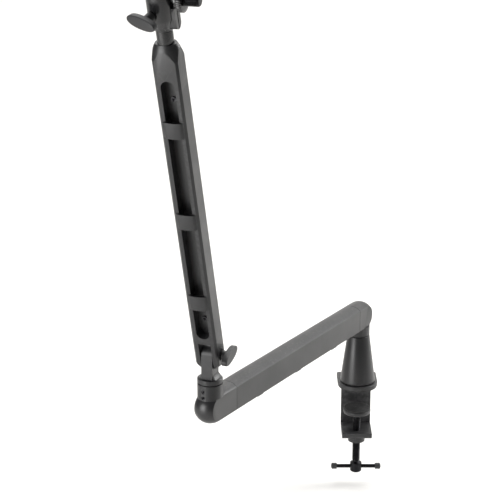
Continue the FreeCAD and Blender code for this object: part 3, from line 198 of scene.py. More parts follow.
def sweep(outline: Array, stations: Array) -> Array:
    """Carries an outline along Z.

    A point is the outline's point less its outward normal times the station's inset, at
    the station's height.

    Args:
        outline: closed outline, one row a point.
        stations: height and inset of each station.

    Returns:
        Grid of stations by outline points by three.
    """
    outline = counter_clockwise(outline)
    normal = outline_normals(outline)
    flat = outline[None] - normal[None] * stations[:, 1][:, None, None]
    height = np.broadcast_to(stations[:, 0][:, None, None], flat.shape[:2] + (1,))
    return np.concatenate([flat, height], axis=2)


def rounded_ends(low: float, high: float, edge: float, steps: int = 4) -> Array:
    """Stations of a sweep whose two ends are rounded with a quarter circle.

    Args:
        low: lowest height.
        high: highest height.
        edge: radius of the quarter circles.
        steps: spans in each.

    Returns:
        Height and inset of each station.
    """
    angle = np.linspace(0, math.pi / 2, steps + 1)
    inset = edge * (1 - np.sin(angle))
    rise = edge * (1 - np.cos(angle))
    bottom = np.stack([low + rise, inset], axis=1)
    top = np.stack([high - rise[::-1], inset[::-1]], axis=1)
    return np.concatenate([bottom, top])


def lathe(profile: Array, segments: int = 72) -> Array:
    """Turns a profile about Z: x is r cos a, y is r sin a and z is the profile's height.

    Args:
        profile: radius and height of each point, from the bottom up on the outside.
        segments: spans round the axis.

    Returns:
        Grid of profile points by segments by three.
    """
    angle = np.linspace(0, 2 * math.pi, segments, endpoint=False)
    radius = profile[:, :1]
    height = np.broadcast_to(profile[:, 1:2], (len(profile), segments))
    return np.stack([radius * np.cos(angle), radius * np.sin(angle), height], axis=2)


def grid_faces(rows: int, columns: int, wrap_rows: bool, wrap_columns: bool) -> Array:
    """Quads of a grid as rows of four vertex numbers.

    Args:
        rows: number of rows.
        columns: number of columns.
        wrap_rows: whether the last row joins the first.
        wrap_columns: whether the last column joins the first.

    Returns:
        Quads, wound so that rows rising and columns turning anticlockwise face outwards.
    """
    row = np.arange(rows if wrap_rows else rows - 1)[:, None]
    column = np.arange(columns if wrap_columns else columns - 1)[None]
    next_row, next_column = (row + 1) % rows, (column + 1) % columns
    quads = [row * columns + column, row * columns + next_column,
             next_row * columns + next_column, next_row * columns + column]
    return np.stack(quads, axis=2).reshape(-1, 4)


@dataclass
class Skin:
    """Vertices and faces of one piece, in a local frame, before it becomes a mesh."""

    points: list[Array] = field(default_factory=list)
    faces: list[list[int]] = field(default_factory=list)
    count: int = 0

    def add(self, grid: Array, caps: bool = True, wrap_rows: bool = False,
            wrap_columns: bool = True) -> "Skin":
        """Adds a grid of points as quads.

        Args:
            grid: rows by columns by three.
            caps: whether the first and last rows are closed with one face each.
            wrap_rows: whether the last row joins the first.
            wrap_columns: whether the last column joins the first.

        Returns:
            This skin.
        """
        rows, columns = grid.shape[:2]
        quads = grid_faces(rows, columns, wrap_rows, wrap_columns) + self.count
        self.faces.extend(quads.tolist())
        if caps and not wrap_rows:
            first = self.count + np.arange(columns)
            self.faces.append(first[::-1].tolist())
            self.faces.append((first + (rows - 1) * columns).tolist())
        self.points.append(grid.reshape(-1, 3))
        self.count += rows * columns
        return self

    def moved(self, change) -> "Skin":
        """Applies a function to every point."""
        self.points = [change(np.concatenate(self.points))]
        return self


def bevelled(piece: bpy.types.Object, width: float, segments: int = 3,
             angle: float = 30.0) -> bpy.types.Object:
    """Rounds the sharp edges of a piece with a live Bevel and evens its normals.

    Args:
        piece: mesh object.
        width: width of the bevel in millimetres.
        segments: spans across the bevel.
        angle: edges that turn by more degrees than this are rounded.

    Returns:
        The piece.
    """
    modifier = piece.modifiers.new("edge_radius", "BEVEL")
    modifier.width = width * MM
    modifier.segments = segments
    modifier.limit_method = "ANGLE"
    modifier.angle_limit = math.radians(angle)
    modifier.harden_normals = True
    modifier.use_clamp_overlap = True
    return piece


def placed(name: str, data: bpy.types.ID) -> bpy.types.Object:
    """New object of some data, linked to the scene."""
    item = bpy.data.objects.new(name, data)
    bpy.context.scene.collection.objects.link(item)
    return item


def make_piece(name: str, skin: Skin, place: Place, smooth: float = 40.0) -> bpy.types.Object:
    """Turns a skin into a mesh object at the origin.

    Args:
        name: the piece's name.
        skin: its vertices and faces.
        place: the local frame that the skin is drawn in.
        smooth: edges that turn by more degrees than this stay crisp.

    Returns:
        The mesh object, merged at its poles and with its faces pointing outwards.
    """
    mesh = bpy.data.meshes.new(name)
    mesh.from_pydata(place.put(np.concatenate(skin.points)).tolist(), [], skin.faces)
    tidy_mesh(mesh, smooth)
    return placed(name, mesh)


def tidy_mesh(mesh: bpy.types.Mesh, smooth: float) -> None:
    """Merges doubles, turns faces outwards and marks the crisp edges of a mesh."""
    work = bmesh.new()
    work.from_mesh(mesh)
    bmesh.ops.remove_doubles(work, verts=work.verts, dist=WELD)
    bmesh.ops.dissolve_degenerate(work, dist=1e-7, edges=work.edges)
    bmesh.ops.recalc_face_normals(work, faces=work.faces)
    work.to_mesh(mesh)
    work.free()
    mesh.shade_smooth()
    mesh.set_sharp_from_angle(angle=math.radians(smooth))


def softened(node: str, width: float, segments: int = 2, angle: float = 28.0) -> bpy.types.Object:
    """A machined piece with its edges broken: a merged copy of the node with a Bevel.

    Args:
        node: the node it stands for.
        width: width of the broken edge in millimetres.
        segments: spans across the edge.
        angle: edges that turn by more degrees than this are rounded.

    Returns:
        The piece; flat regions are joined into single faces first.
    """
    source = frame["nodes"][node]
    mesh = source.data.copy()
    mesh.name = node + "_skin"
    mesh.materials.clear()
    work = bmesh.new()
    work.from_mesh(mesh)
    bmesh.ops.remove_doubles(work, verts=work.verts, dist=WELD)
    bmesh.ops.dissolve_limit(work, angle_limit=math.radians(0.6), verts=work.verts,
                             edges=work.edges)
    work.to_mesh(mesh)
    work.free()
    mesh.shade_smooth()
    mesh.set_sharp_from_angle(angle=math.radians(angle))
    return bevelled(placed(node + "_skin", mesh), width, segments, angle)


# --- finishes
class Kind(Enum):
    """Families of surface that the finishes are made from."""

    COATED = "coated"
    MOULDED = "moulded"
    METAL = "metal"
    RUBBER = "rubber"


@dataclass(frozen=True)
class Finish:
    """One surface finish of the arm."""

    name: str
    kind: Kind
    colour: tuple[float, float, float]
    worn: tuple[float, float, float]
    roughness: float
    spread: float
    grain: float
    grain_size: float
    wear: float
    coat: float = 0.0
    metallic: float = 0.0


FINISHES = {
    "clamp_black": Finish("steel_powder_coat", Kind.COATED, (0.020, 0.020, 0.021),
                          (0.090, 0.090, 0.093), 0.44, 0.10, 0.12, 1500.0, 0.45),
    "satin_black_paint": Finish("satin_powder_coat", Kind.COATED, (0.020, 0.020, 0.021),
                                (0.075, 0.075, 0.078), 0.42, 0.10, 0.10, 1500.0, 0.35),
    "satin_black_cap": Finish("satin_cast_coat", Kind.COATED, (0.018, 0.018, 0.019),
                              (0.070, 0.070, 0.072), 0.38, 0.10, 0.08, 1300.0, 0.35),
    "moulded_black": Finish("moulded_nylon", Kind.MOULDED, (0.024, 0.024, 0.025),
                            (0.060, 0.060, 0.060), 0.50, 0.12, 0.22, 1900.0, 0.30),
    "head_black": Finish("semi_gloss_coat", Kind.COATED, (0.012, 0.012, 0.013),
                         (0.060, 0.060, 0.062), 0.26, 0.08, 0.05, 1200.0, 0.40, 0.25),
    # dark_steel: black oxide steel whose colour is darkened further as painted shade, so that
    # screws in recesses look like shaded holes
    "dark_steel": Finish("black_oxide_steel_and_painted_shade", Kind.METAL, (0.024, 0.024, 0.026),
                         (0.20, 0.20, 0.21), 0.36, 0.12, 0.05, 900.0, 0.6, 0.0, 1.0),
    "plain_steel": Finish("turned_steel", Kind.METAL, (0.52, 0.52, 0.53),
                          (0.75, 0.75, 0.75), 0.28, 0.10, 0.06, 900.0, 0.4, 0.0, 1.0),
    "brass_insert": Finish("blackened_brass", Kind.METAL, (0.075, 0.066, 0.052),
                           (0.40, 0.33, 0.22), 0.34, 0.10, 0.06, 900.0, 0.3, 0.0, 1.0),
    "grip_rubber": Finish("grip_foam", Kind.RUBBER, (0.020, 0.020, 0.020),
                          (0.050, 0.050, 0.050), 0.80, 0.10, 0.45, 1100.0, 0.2),
    "bearing_plastic": Finish("acetal", Kind.MOULDED, (0.06, 0.06, 0.062),
                              (0.12, 0.12, 0.12), 0.34, 0.08, 0.05, 1300.0, 0.2),
    # washer_black: the washers' own black, darkened below every other black as painted shade so
    # that they read as the dark gaps under the necks
    "washer_black": Finish("nylon_washer_and_painted_gap_shade", Kind.MOULDED, (0.008, 0.008, 0.008),
                           (0.03, 0.03, 0.03), 0.55, 0.08, 0.08, 1500.0, 0.2),
}


class NodeGroup:
    """A shader node group built once, with named inputs and outputs."""

    def __init__(self, name: str, inputs: dict[str, float], outputs: dict[str, str]) -> None:
        """Makes the empty group.

        Args:
            name: the group's name.
            inputs: name of each number input to its default.
            outputs: name of each output to its socket type.
        """
        self.tree = bpy.data.node_groups.new(name, "ShaderNodeTree")
        for label, default in inputs.items():
            socket = self.tree.interface.new_socket(label, in_out="INPUT",
                                                    socket_type="NodeSocketFloat")
            socket.default_value = default
        for label, kind in outputs.items():
            self.tree.interface.new_socket(label, in_out="OUTPUT", socket_type=kind)
        self.source = self.tree.nodes.new("NodeGroupInput")
        self.sink = self.tree.nodes.new("NodeGroupOutput")

    def node(self, kind: str, **settings) -> bpy.types.Node:
        """Adds a node and sets its options."""
        return add_node(self.tree, kind, **settings)

    def link(self, *wires: tuple) -> None:
        """Joins the group's nodes, a wire each."""
        wire(self.tree, *wires)


def wire(tree: bpy.types.NodeTree, *wires: tuple) -> None:
    """Joins nodes of a tree.

    Args:
        tree: the tree they are in.
        wires: a node, its output, the node it feeds and that node's input.
    """
    for start, output, end, entry in wires:
        tree.links.new(start.outputs[output], end.inputs[entry])


def add_node(tree: bpy.types.NodeTree, kind: str, **settings) -> bpy.types.Node:
    """Adds a shader node.

    Args:
        tree: the tree it goes in.
        kind: its type without the common prefix.
        settings: attributes to set; a name that is an input sets that input instead.

    Returns:
        The node.
    """
    node = tree.nodes.new("ShaderNode" + kind)
    for key, value in settings.items():
        label = key.replace("_", " ").title()
        if not hasattr(node, key) and label in node.inputs:
            node.inputs[label].default_value = value
        else:
            setattr(node, key, value)
    return node


def edge_wear_group() -> NodeGroup:
    """Mask of rubbed edges: convex pointedness broken up by a noise pattern."""
    group = NodeGroup("edge_wear", {"Amount": 0.4, "Scale": 220.0}, {"Mask": "NodeSocketFloat"})
    place = group.node("TexCoord")
    geometry = group.node("NewGeometry")
    ramp = group.node("MapRange", from_min=0.53, from_max=0.62)
    noise = group.node("TexNoise", detail=4.0, roughness=0.65)
    product = group.node("Math", operation="MULTIPLY")
    scaled = group.node("Math", operation="MULTIPLY", use_clamp=True)
    contrast = group.node("MapRange", from_min=0.38, from_max=0.68)
    group.link((place, "Object", noise, "Vector"),
               (group.source, "Scale", noise, "Scale"),
               (geometry, "Pointiness", ramp, "Value"),
               (noise, "Fac", contrast, "Value"),
               (ramp, "Result", product, 0),
               (contrast, "Result", product, 1),
               (product, 0, scaled, 0),
               (group.source, "Amount", scaled, 1),
               (scaled, 0, group.sink, "Mask"))
    return group


def fine_grain_group() -> NodeGroup:
    """Height and tone of a fine orange-peel grain: noise at the scale and at a third of it."""
    group = NodeGroup("fine_grain", {"Scale": 1400.0, "Depth": 0.2},
                      {"Height": "NodeSocketFloat", "Tone": "NodeSocketFloat"})
    place = group.node("TexCoord")
    fine = group.node("TexNoise", detail=3.0, roughness=0.6)
    third = group.node("Math", operation="MULTIPLY")
    third.inputs[1].default_value = 0.33
    broad = group.node("TexNoise", detail=2.0, roughness=0.5)
    total = group.node("Math", operation="ADD")
    deep = group.node("Math", operation="MULTIPLY")
    group.link((place, "Object", fine, "Vector"),
               (place, "Object", broad, "Vector"),
               (group.source, "Scale", fine, "Scale"),
               (group.source, "Scale", third, 0),
               (third, 0, broad, "Scale"),
               (fine, "Fac", total, 0),
               (broad, "Fac", total, 1),
               (total, 0, deep, 0),
               (group.source, "Depth", deep, 1),
               (deep, 0, group.sink, "Height"),
               (fine, "Fac", group.sink, "Tone"))
    return group


def handling_group() -> NodeGroup:
    """Broad patches of handling: slow noise that varies roughness, and dust that lies on top."""
    group = NodeGroup("handling", {"Scale": 22.0, "Dust": 0.3},
                      {"Patch": "NodeSocketFloat", "Dust": "NodeSocketFloat"})
    place = group.node("TexCoord")
    slow = group.node("TexNoise", detail=5.0, roughness=0.55)
    geometry = group.node("NewGeometry")
    split = group.node("SeparateXYZ")
    upward = group.node("MapRange", from_min=0.55, from_max=1.0)
    specks = group.node("TexNoise", detail=6.0, roughness=0.8, scale=260.0)
    few = group.node("MapRange", from_min=0.52, from_max=0.80)
    both = group.node("Math", operation="MULTIPLY")
    amount = group.node("Math", operation="MULTIPLY", use_clamp=True)
    group.link((place, "Object", slow, "Vector"),
               (place, "Object", specks, "Vector"),
               (group.source, "Scale", slow, "Scale"),
               (geometry, "Normal", split, 0),
               (split, "Z", upward, "Value"),
               (specks, "Fac", few, "Value"),
               (upward, "Result", both, 0),
               (few, "Result", both, 1),
               (both, 0, amount, 0),
               (group.source, "Dust", amount, 1),
               (slow, "Fac", group.sink, "Patch"),
               (amount, 0, group.sink, "Dust"))
    return group


class Paintbox:
    """Makes each finish's material once and hands it out."""

    def __init__(self) -> None:
        """Builds the shared node groups."""
        self.wear = edge_wear_group()
        self.grain = fine_grain_group()
        self.handling = handling_group()
        self.made: dict[str, bpy.types.Material] = {}

    def material(self, slot: str) -> bpy.types.Material:
        """The material of a slot, made on first use."""
        if slot not in self.made:
            self.made[slot] = self._make(FINISHES[slot])
        return self.made[slot]

    def _make(self, finish: Finish) -> bpy.types.Material:
        """Wires one finish: base, worn edges and dust mixed by masks, grain into a Bump.

        Args:
            finish: the finish to make.

        Returns:
            The material.
        """
        material = bpy.data.materials.new(finish.name)
        material.use_nodes = True
        tree = material.node_tree
        tree.nodes.clear()
        output = add_node(tree, "OutputMaterial")
        shader = add_node(tree, "BsdfPrincipled")
        wire(tree, (shader, 0, output, "Surface"))
        wear = add_node(tree, "Group", node_tree=self.wear.tree, amount=finish.wear)
        grain = add_node(tree, "Group", node_tree=self.grain.tree, scale=finish.grain_size,
                         depth=finish.grain)
        dust = 0.1 if finish.kind is Kind.METAL else 0.35
        handling = add_node(tree, "Group", node_tree=self.handling.tree, dust=dust)
        dark = tuple(channel * DARK_TONE for channel in finish.colour)
        tone = self._mix(tree, dark, finish.colour, grain.outputs["Tone"])
        worn = self._mix(tree, tone, finish.worn, wear.outputs["Mask"])
        dusty = self._mix(tree, worn, DUST_COLOUR, handling.outputs["Dust"])
        tree.links.new(dusty, shader.inputs["Base Color"])
        rough = add_node(tree, "MapRange", from_min=0.3, from_max=0.7,
                         to_min=finish.roughness - finish.spread / 2,
                         to_max=finish.roughness + finish.spread / 2)
        bump = add_node(tree, "Bump", strength=0.8 if finish.kind is Kind.RUBBER else 0.35,
                        distance=GRAIN_HEIGHT)
        wire(tree, (handling, "Patch", rough, "Value"), (rough, "Result", shader, "Roughness"),
             (grain, "Height", bump, "Height"), (bump, "Normal", shader, "Normal"))
        shader.inputs["Metallic"].default_value = finish.metallic
        shader.inputs["IOR"].default_value = 1.5
        if finish.coat:
            shader.inputs["Coat Weight"].default_value = finish.coat
            shader.inputs["Coat Roughness"].default_value = 0.12
        if finish.kind is Kind.METAL:
            self._turned_lines(tree, rough, shader)
        return material

    @staticmethod
    def _mix(tree: bpy.types.NodeTree, start, end: tuple[float, float, float],
             mask: bpy.types.NodeSocket) -> bpy.types.NodeSocket:
        """Mixes two colours by a mask.

        Args:
            tree: the material's tree.
            start: a colour or a colour socket.
            end: the colour where the mask is full.
            mask: the mask's socket.

        Returns:
            The mixed colour's socket.
        """
        mix = add_node(tree, "Mix", data_type="RGBA")
        tree.links.new(mask, mix.inputs[0])
        if isinstance(start, tuple):
            mix.inputs[6].default_value = (*start, 1.0)
        else:
            tree.links.new(start, mix.inputs[6])
        mix.inputs[7].default_value = (*end, 1.0)
        return mix.outputs[2]

    @staticmethod
    def _turned_lines(tree: bpy.types.NodeTree, rough: bpy.types.Node,
                      shader: bpy.types.Node) -> None:
        """Fine tool marks on metal: a stretched noise that shifts the roughness."""
        place = add_node(tree, "TexCoord")
        stretch = add_node(tree, "Mapping", scale=(60.0, 60.0, 2600.0))
        lines = add_node(tree, "TexNoise", detail=2.0, roughness=0.5, scale=1.0)
        shift = add_node(tree, "MapRange", to_min=-0.07, to_max=0.07)
        total = add_node(tree, "Math", operation="ADD", use_clamp=True)
        wire(tree, (place, "Object", stretch, "Vector"), (stretch, "Vector", lines, "Vector"),
             (lines, "Fac", shift, "Value"), (rough, "Result", total, 0),
             (shift, "Result", total, 1), (total, 0, shader, "Roughness"))


@dataclass
class Assembly:
    """What every sub-assembly shares: its frames and the finishes."""

    places: dict[str, Place]
    paints: Paintbox

    def dress(self, piece: bpy.types.Object, body: str, slot: str, *nodes: str) -> None:
        """Gives a finished piece its body and finish, and hides the nodes it stands for.

        Args:
            piece: the mesh object.
            body: the body it moves with.
            slot: material slot of the record.
            nodes: nodes it replaces.
        """
        piece.data.materials.clear()
        piece.data.materials.append(self.paints.material(slot))
        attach(piece, body)
        if nodes:
            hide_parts(*nodes)
        LOG.info("%s rides on %s", piece.name, body)

    def turned(self, name: str, profile: Array, place: Place, body: str, slot: str, node: str,
               segments: int = 96, ring: bool = False, smooth: float = 40.0) -> None:
        """Replaces a node with a piece turned about a frame's Z.

        Args:
            name, place, smooth: as for make_piece.
            profile, segments: as for lathe.
            body, slot, node: as for dress.
            ring: whether the section is a closed loop rather than starting on the axis.
        """
        skin = Skin().add(lathe(profile, segments), caps=False, wrap_rows=ring)
        self.dress(make_piece(name, skin, place, smooth), body, slot, node)

    def gap_washer(self, name: str, low: float, body: str, node: str) -> None:
        """Washer under a turned neck, from a height up; its near-black colour is partly painted
        shade standing for the dark gap there.
        """
        section = ring_profile(SHAFT_RADIUS, WASHER_RADIUS, low, low + WASHER_THICK, 0.25)
        self.turned(name, section, self.places[body], body, "washer_black", node, ring=True)

    def soften(self, node: str, body: str, slot: str, width: float, segments: int = 2) -> None:
        """Replaces a machined node with its edge-broken copy."""
        self.dress(softened(node, width, segments), body, slot, node)

    def keep(self, node: str, slot: str) -> None:
        """Keeps a node as it is and gives it its finish."""
        data = frame["nodes"][node].data
        data.materials.clear()
        data.materials.append(self.paints.material(slot))
        LOG.info("%s kept", node)


def ring_profile(inner: float, outer: float, low: float, high: float, edge: float) -> Array:
    """Closed section of a plain ring with rounded edges, as radius and height."""
    return rounded([(inner, low, edge), (outer, low, edge), (outer, high, edge),
                    (inner, high, edge)], 3)


def thread(major: float, depth: float, pitch: float, low: float, high: float,
           flat: float = 0.25, segments: int = 40) -> Array:
    """Screw thread as a grid of turns by profile.

    A point is at the profile's radius about Z, at the pitch times the turns made so far
    plus the profile's place in the pitch.  The profile is root, flank, crest, flank; its
    depth fades to nothing over the first and last turn.

    Args:
        major: crest radius.
        depth: crest to root.
        pitch: rise in one turn.
        low: lowest height.
        high: highest height.
        flat: share of the pitch that is crest.
        segments: spans in one turn.

    Returns:
        Grid of steps along the helix by five profile points by three.
    """
    turns = (high - low) / pitch - 1.0
    steps = int(turns * segments)
    angle = np.arange(steps + 1)[:, None] * 2 * math.pi / segments
    share = np.array([0.0, 0.5 - flat / 2, 0.5 + flat / 2, 0.999999])[None]
    crest = np.array([0.0, 1.0, 1.0, 0.0])[None]
    fade = np.clip(np.minimum(angle, angle[-1] - angle) / (2 * math.pi), 0, 1)
    radius = major - depth + depth * crest * fade
    height = low + pitch * (angle / (2 * math.pi) + share)
    return np.stack([radius * np.cos(angle), radius * np.sin(angle), height + 0 * radius], axis=2)


def paddle(long: float, wide: float, thick: float, edge: float, crown: float) -> Skin:
    """Oval wing blade lying in XY and thick in Z.

    Its outline is a superellipse of power 2.3.  Rows run in from the middle of the lower
    face to the edge, round it on quarter circles, and back over the upper face; the two
    faces stand proud of flat by the crown times one less the square of the row's share.

    Args:
        long: length along X.
        wide: width along Y.
        thick: thickness along Z at the rim.
        edge: radius of the rim's edges.
        crown: rise of the faces at the middle.

    Returns:
        The closed skin, from Z zero to the thickness plus the crown.
    """
    angle = np.linspace(0, 2 * math.pi, 96, endpoint=False)
    power = 2.0 / 2.3
    across = np.sign(np.cos(angle)) * np.abs(np.cos(angle)) ** power
    up = np.sign(np.sin(angle)) * np.abs(np.sin(angle)) ** power
    ends = rounded_ends(0.0, thick, edge, 6)
    share = np.linspace(0.0, 1.0, 9)[:-1]
    rows = [(edge, part, crown * (part * part - 1.0)) for part in share]
    rows += [(inset, 1.0, height) for height, inset in ends]
    rows += [(edge, part, thick - crown * (part * part - 1.0)) for part in share[::-1]]
    grid = [np.stack([across * (long / 2 - inset) * part, up * (wide / 2 - inset) * part,
                      np.full_like(angle, height)], axis=1) for inset, part, height in rows]
    return Skin().add(np.array(grid), caps=False)


# --- desk clamp
@dataclass
class DeskClamp(Assembly):
    """C clamp, its pads, its screw, and the tapered riser that stands on it."""

    pad_half: float = 30.0
    pad_rear: float = 28.5
    pad_high: float = 2.0
    plate_top: float = 8.0
    foot: float = 24.8
    foot_high: float = 1.3
    rim: float = 26.6
    rim_high: float = 2.0
    neck: float = 17.0
    riser_high: float = 75.7
    grip: float = -36.0
    plate_high: float = 6.0
    rubber_high: float = 3.0
    boss_high: float = 5.0
    end_gap: float = 0.15
    presser: float = 21.0
    spindle: float = 6.0
    spindle_long: float = 78.0
    head: float = 9.0
    head_long: float = 16.0
    handle: float = 3.0
    handle_long: float = 74.0

    def build(self) -> None:
        """Builds every piece of the clamp and the riser."""
        self.soften("clamp_frame", "clamp", "clamp_black", 0.7, 3)
        self.top_pad()
        self.riser()
        self.presser_pieces()
        self.screw()
        self.handle_pieces()
        for node in ("riser_screws", "shaft_bolt", "swivel_clip"):
            self.keep(node, "dark_steel")
        self.keep("swivel_shaft", "plain_steel")

    def top_pad(self) -> None:
        """Foam pad: half circle in front, square behind, its sides bulged by the load."""
        angle = np.linspace(math.pi, 2 * math.pi, 49)
        front = self.pad_half * np.stack([np.cos(angle), np.sin(angle)], axis=1)
        back = rounded([(self.pad_half, 0.0, 0.0), (self.pad_half, self.pad_rear, 2.5),
                        (-self.pad_half, self.pad_rear, 2.5), (-self.pad_half, 0.0, 0.0)], 5)
        outline = np.concatenate([front, back[1:-1]])
        turn = np.linspace(-1, 1, 9)
        stations = np.stack([self.pad_high * (turn + 1) / 2, 0.55 * turn ** 2], axis=1)
        skin = Skin().add(sweep(outline, stations))
        self.dress(make_piece("top_pad", skin, self.places["clamp"]), "clamp", "grip_rubber",
                   "top_jaw_pad")

    def riser(self) -> None:
        """Tapered riser turned from a profile, and the near-black washer on it, whose colour is
        partly painted gap shade.
        """
        base = self.plate_top
        step = base + self.foot_high
        top = base + self.riser_high
        profile = rounded([
            (15.0, base, 0.4), (self.foot, base, 0.3), (self.foot, step, 0.25),
            (self.rim, step, 0.5), (self.rim, step + self.rim_high, 1.1),
            (self.neck, top, 0.7), (SHAFT_RADIUS, top, 0.4), (SHAFT_RADIUS, top - 13.0, 0.3),
            (15.1, top - 13.0, 0.8), (22.0, base + 10.0, 0.8), (15.0, base + 10.0, 0.4)], 4)
        self.turned("riser", profile, self.places["clamp"], "clamp", "satin_black_cap",
                    "riser_cone", 128, True, 30)
        self.gap_washer("riser_gap_washer", top, "clamp", "riser_washer")

    def presser_pieces(self) -> None:
        """Turned pressure plate and the ringed rubber pad on it."""
        under = self.grip - self.rubber_high - self.plate_high
        profile = rounded([
            (0.0, under + 3.0, 0.0), (4.05, under + 3.0, 0.2), (4.05, under - self.boss_high, 0.3),
            (9.5, under - self.boss_high, 0.8), (9.5, under, 1.2),
            (self.presser - 1.0, under, 1.0), (self.presser, under + 2.0, 0.8),
            (self.presser, under + self.plate_high, 0.5),
            (0.0, under + self.plate_high, 0.0)], 4, closed=False)
        self.turned("pressure_plate_turned", profile[::-1], self.places["clamp"], "presser",
                    "clamp_black", "pressure_plate")
        radius = np.linspace(0.0, self.presser - 1.6, 160)
        ripple = -0.35 * (0.5 - 0.5 * np.cos(radius * 2 * math.pi / 2.6)) * (radius > 2.6)
        upper = np.stack([radius, self.grip + ripple], axis=1)
        low = self.grip - self.rubber_high
        side = rounded([(self.presser - 1.6, self.grip, 0.0), (self.presser - 1.0, self.grip - 0.6,
                        0.4), (self.presser - 1.0, low, 0.0), (0.0, low, 0.0)], 3, closed=False)
        self.turned("presser_pad", np.concatenate([upper, side[1:]])[::-1], self.places["clamp"],
                    "presser", "grip_rubber", "lower_jaw_pad")

    def screw_shoulder(self) -> float:
        """Height of the shoulder that the screw pushes the plate with."""
        return self.grip - self.rubber_high - self.plate_high - self.boss_high - self.end_gap

    def screw(self) -> None:
        """Clamp screw: tip, shoulder, thread, and a head that the handle passes through."""
        tip = self.grip - self.plate_high - self.end_gap
        shoulder = self.screw_shoulder()
        end = shoulder - self.spindle_long
        foot = end - self.head_long
        root = self.spindle - 1.0
        profile = rounded([
            (0.0, foot, 0.0), (self.head - 1.4, foot, 0.6), (self.head, foot + 1.4, 0.6),
            (self.head, end - 1.2, 0.6), (self.spindle + 0.4, end, 0.3), (root, end + 1.0, 0.2),
            (root, shoulder - 1.6, 0.1), (self.spindle, shoulder - 0.8, 0.2),
            (self.spindle, shoulder, 0.2), (4.0, shoulder, 0.1), (4.0, tip - 0.5, 0.2),
            (3.5, tip, 0.1), (0.0, tip, 0.0)], 3, closed=False)
        skin = Skin().add(lathe(profile, 96), caps=False)
        skin.add(thread(self.spindle, 1.05, 2.0, end + 0.6, shoulder - 1.0), wrap_columns=False,
                 caps=False)
        piece = make_piece("clamp_screw", skin, self.places["clamp"], 50)
        self.dress(piece, "spindle", "dark_steel", "clamp_spindle")

    def handle_pieces(self) -> None:
        """Bar through the screw's head and its two ribbed end caps."""
        middle = self.screw_shoulder() - self.spindle_long - self.head_long / 2
        place = self.places["clamp"].moved(z=middle).lying(SIDEWAYS)
        half = self.handle_long / 2
        bar = rounded([(0.0, -half, 0.0), (self.handle, -half, 0.5), (self.handle, half, 0.5),
                       (0.0, half, 0.0)], 4, closed=False)
        self.turned("handle_bar", bar, place, "spindle", "dark_steel", "clamp_handle", 64)
        skin = Skin()
        along = np.linspace(0.0, 9.0, 90)
        rib = 0.22 * (0.5 - 0.5 * np.cos(along * 2 * math.pi / 1.5))
        dome = np.sqrt(np.clip(1 - ((along - 6.4) / 2.6).clip(0, 1) ** 2, 0, 1))
        radius = (4.95 - rib * (along < 6.0)) * dome
        radius[0] = self.handle + 0.02
        outer = np.stack([radius, along], axis=1)
        socket = 7.0
        bore = np.array([[self.handle + 0.02, socket], [self.handle + 0.02, 0.0]])
        for side in (-1.0, 1.0):
            flip, shift = np.array([1.0, side, side]), np.array([0, 0, side * (half - socket)])
            skin.add(lathe(outer, 64) * flip + shift, caps=False)
            skin.add(lathe(bore, 64) * flip + shift)
        self.dress(make_piece("handle_end_caps", skin, place), "spindle", "moulded_black",
                   "handle_caps")


# --- lower arm
@dataclass
class LowerArm(Assembly):
    """Flat-sided round bar with rounded ends, cable channel and clips underneath."""

    height: float = 115.0
    radius: float = 22.0
    length: float = 420.0
    rear_seam: float = 24.0
    front_seam: float = 44.0
    clip_long: float = 13.0
    clip_thick: float = 1.4
    clip_half: float = 9.98
    channel_half: float = 6.48
    clip_shares: tuple[float, ...] = (0.2, 0.5, 0.8)

    def build(self) -> None:
        """Builds every piece of the lower arm."""
        self.soften("lower_arm_tube", "lower_arm", "satin_black_paint", 0.7, 3)
        self.soften("rear_end_cap", "lower_arm", "satin_black_cap", 0.6)
        self.soften("front_end_cap", "lower_arm", "satin_black_cap", 0.6)
        self.clips()
        for node in ("swivel_bush", "elbow_bush"):
            self.keep(node, "bearing_plastic")
        for node in ("collar_grub_screws", "lower_arm_screws"):
            self.keep(node, "dark_steel")

    def clips(self) -> None:
        """Snap-in straps: an arc of the bar's own curve with two legs, carried along the arm."""
        outer = self.radius + self.clip_thick + 0.15
        inner = self.radius + 0.15
        edge = math.asin(self.clip_half / outer)
        sweep_out = np.linspace(-edge, edge, 25)
        arc = outer * np.stack([np.sin(sweep_out), -np.cos(sweep_out)], axis=1)
        leg_out, leg_in = self.channel_half, self.channel_half - self.clip_thick

        def on_arc(x: float) -> tuple[float, float]:
            """Point of the inner arc at a distance from the middle."""
            return x, -math.sqrt(inner ** 2 - x ** 2)

        right = [(*on_arc(self.clip_half - 0.1), 0.3), (*on_arc(leg_out), 0.3),
                 (leg_out, -14.0, 0.5), (leg_in, -14.0, 0.5), (*on_arc(leg_in), 0.6)]
        left = [(-x, y, r) for x, y, r in right[::-1]]
        inside = rounded([(*arc[-1], 0.5), *right, *left, (*arc[0], 0.5)], 3, closed=True)
        outline = np.concatenate([arc[1:-1], inside])
        skin = Skin()
        span = self.length - self.front_seam - self.rear_seam
        for share in self.clip_shares:
            centre = self.rear_seam + span * share
            grid = sweep(outline, rounded_ends(-self.clip_long / 2, self.clip_long / 2, 0.45))
            turned = np.stack([grid[..., 0], -grid[..., 2] - centre,
                               grid[..., 1] + self.height], axis=2)
            skin.add(turned)
        self.dress(make_piece("under_clips", skin, self.places["lower"]), "lower_arm",
                   "moulded_black", "lower_cable_clips")


# --- elbow
@dataclass
class Elbow(Assembly):
    """Turned post with its flat tang, its washer and the friction discs."""

    collar_top: float = 149.7

    def build(self) -> None:
        """Builds every piece of the elbow."""
        self.soften("elbow_post", "elbow", "satin_black_cap", 0.5)
        self.gap_washer("elbow_gap_washer", self.collar_top, "elbow", "elbow_washer")
        self.keep("elbow_clip", "dark_steel")
        # the friction discs share the washers' near-black colour, which is partly painted gap
        # shade
        self.keep("friction_discs", "washer_black")


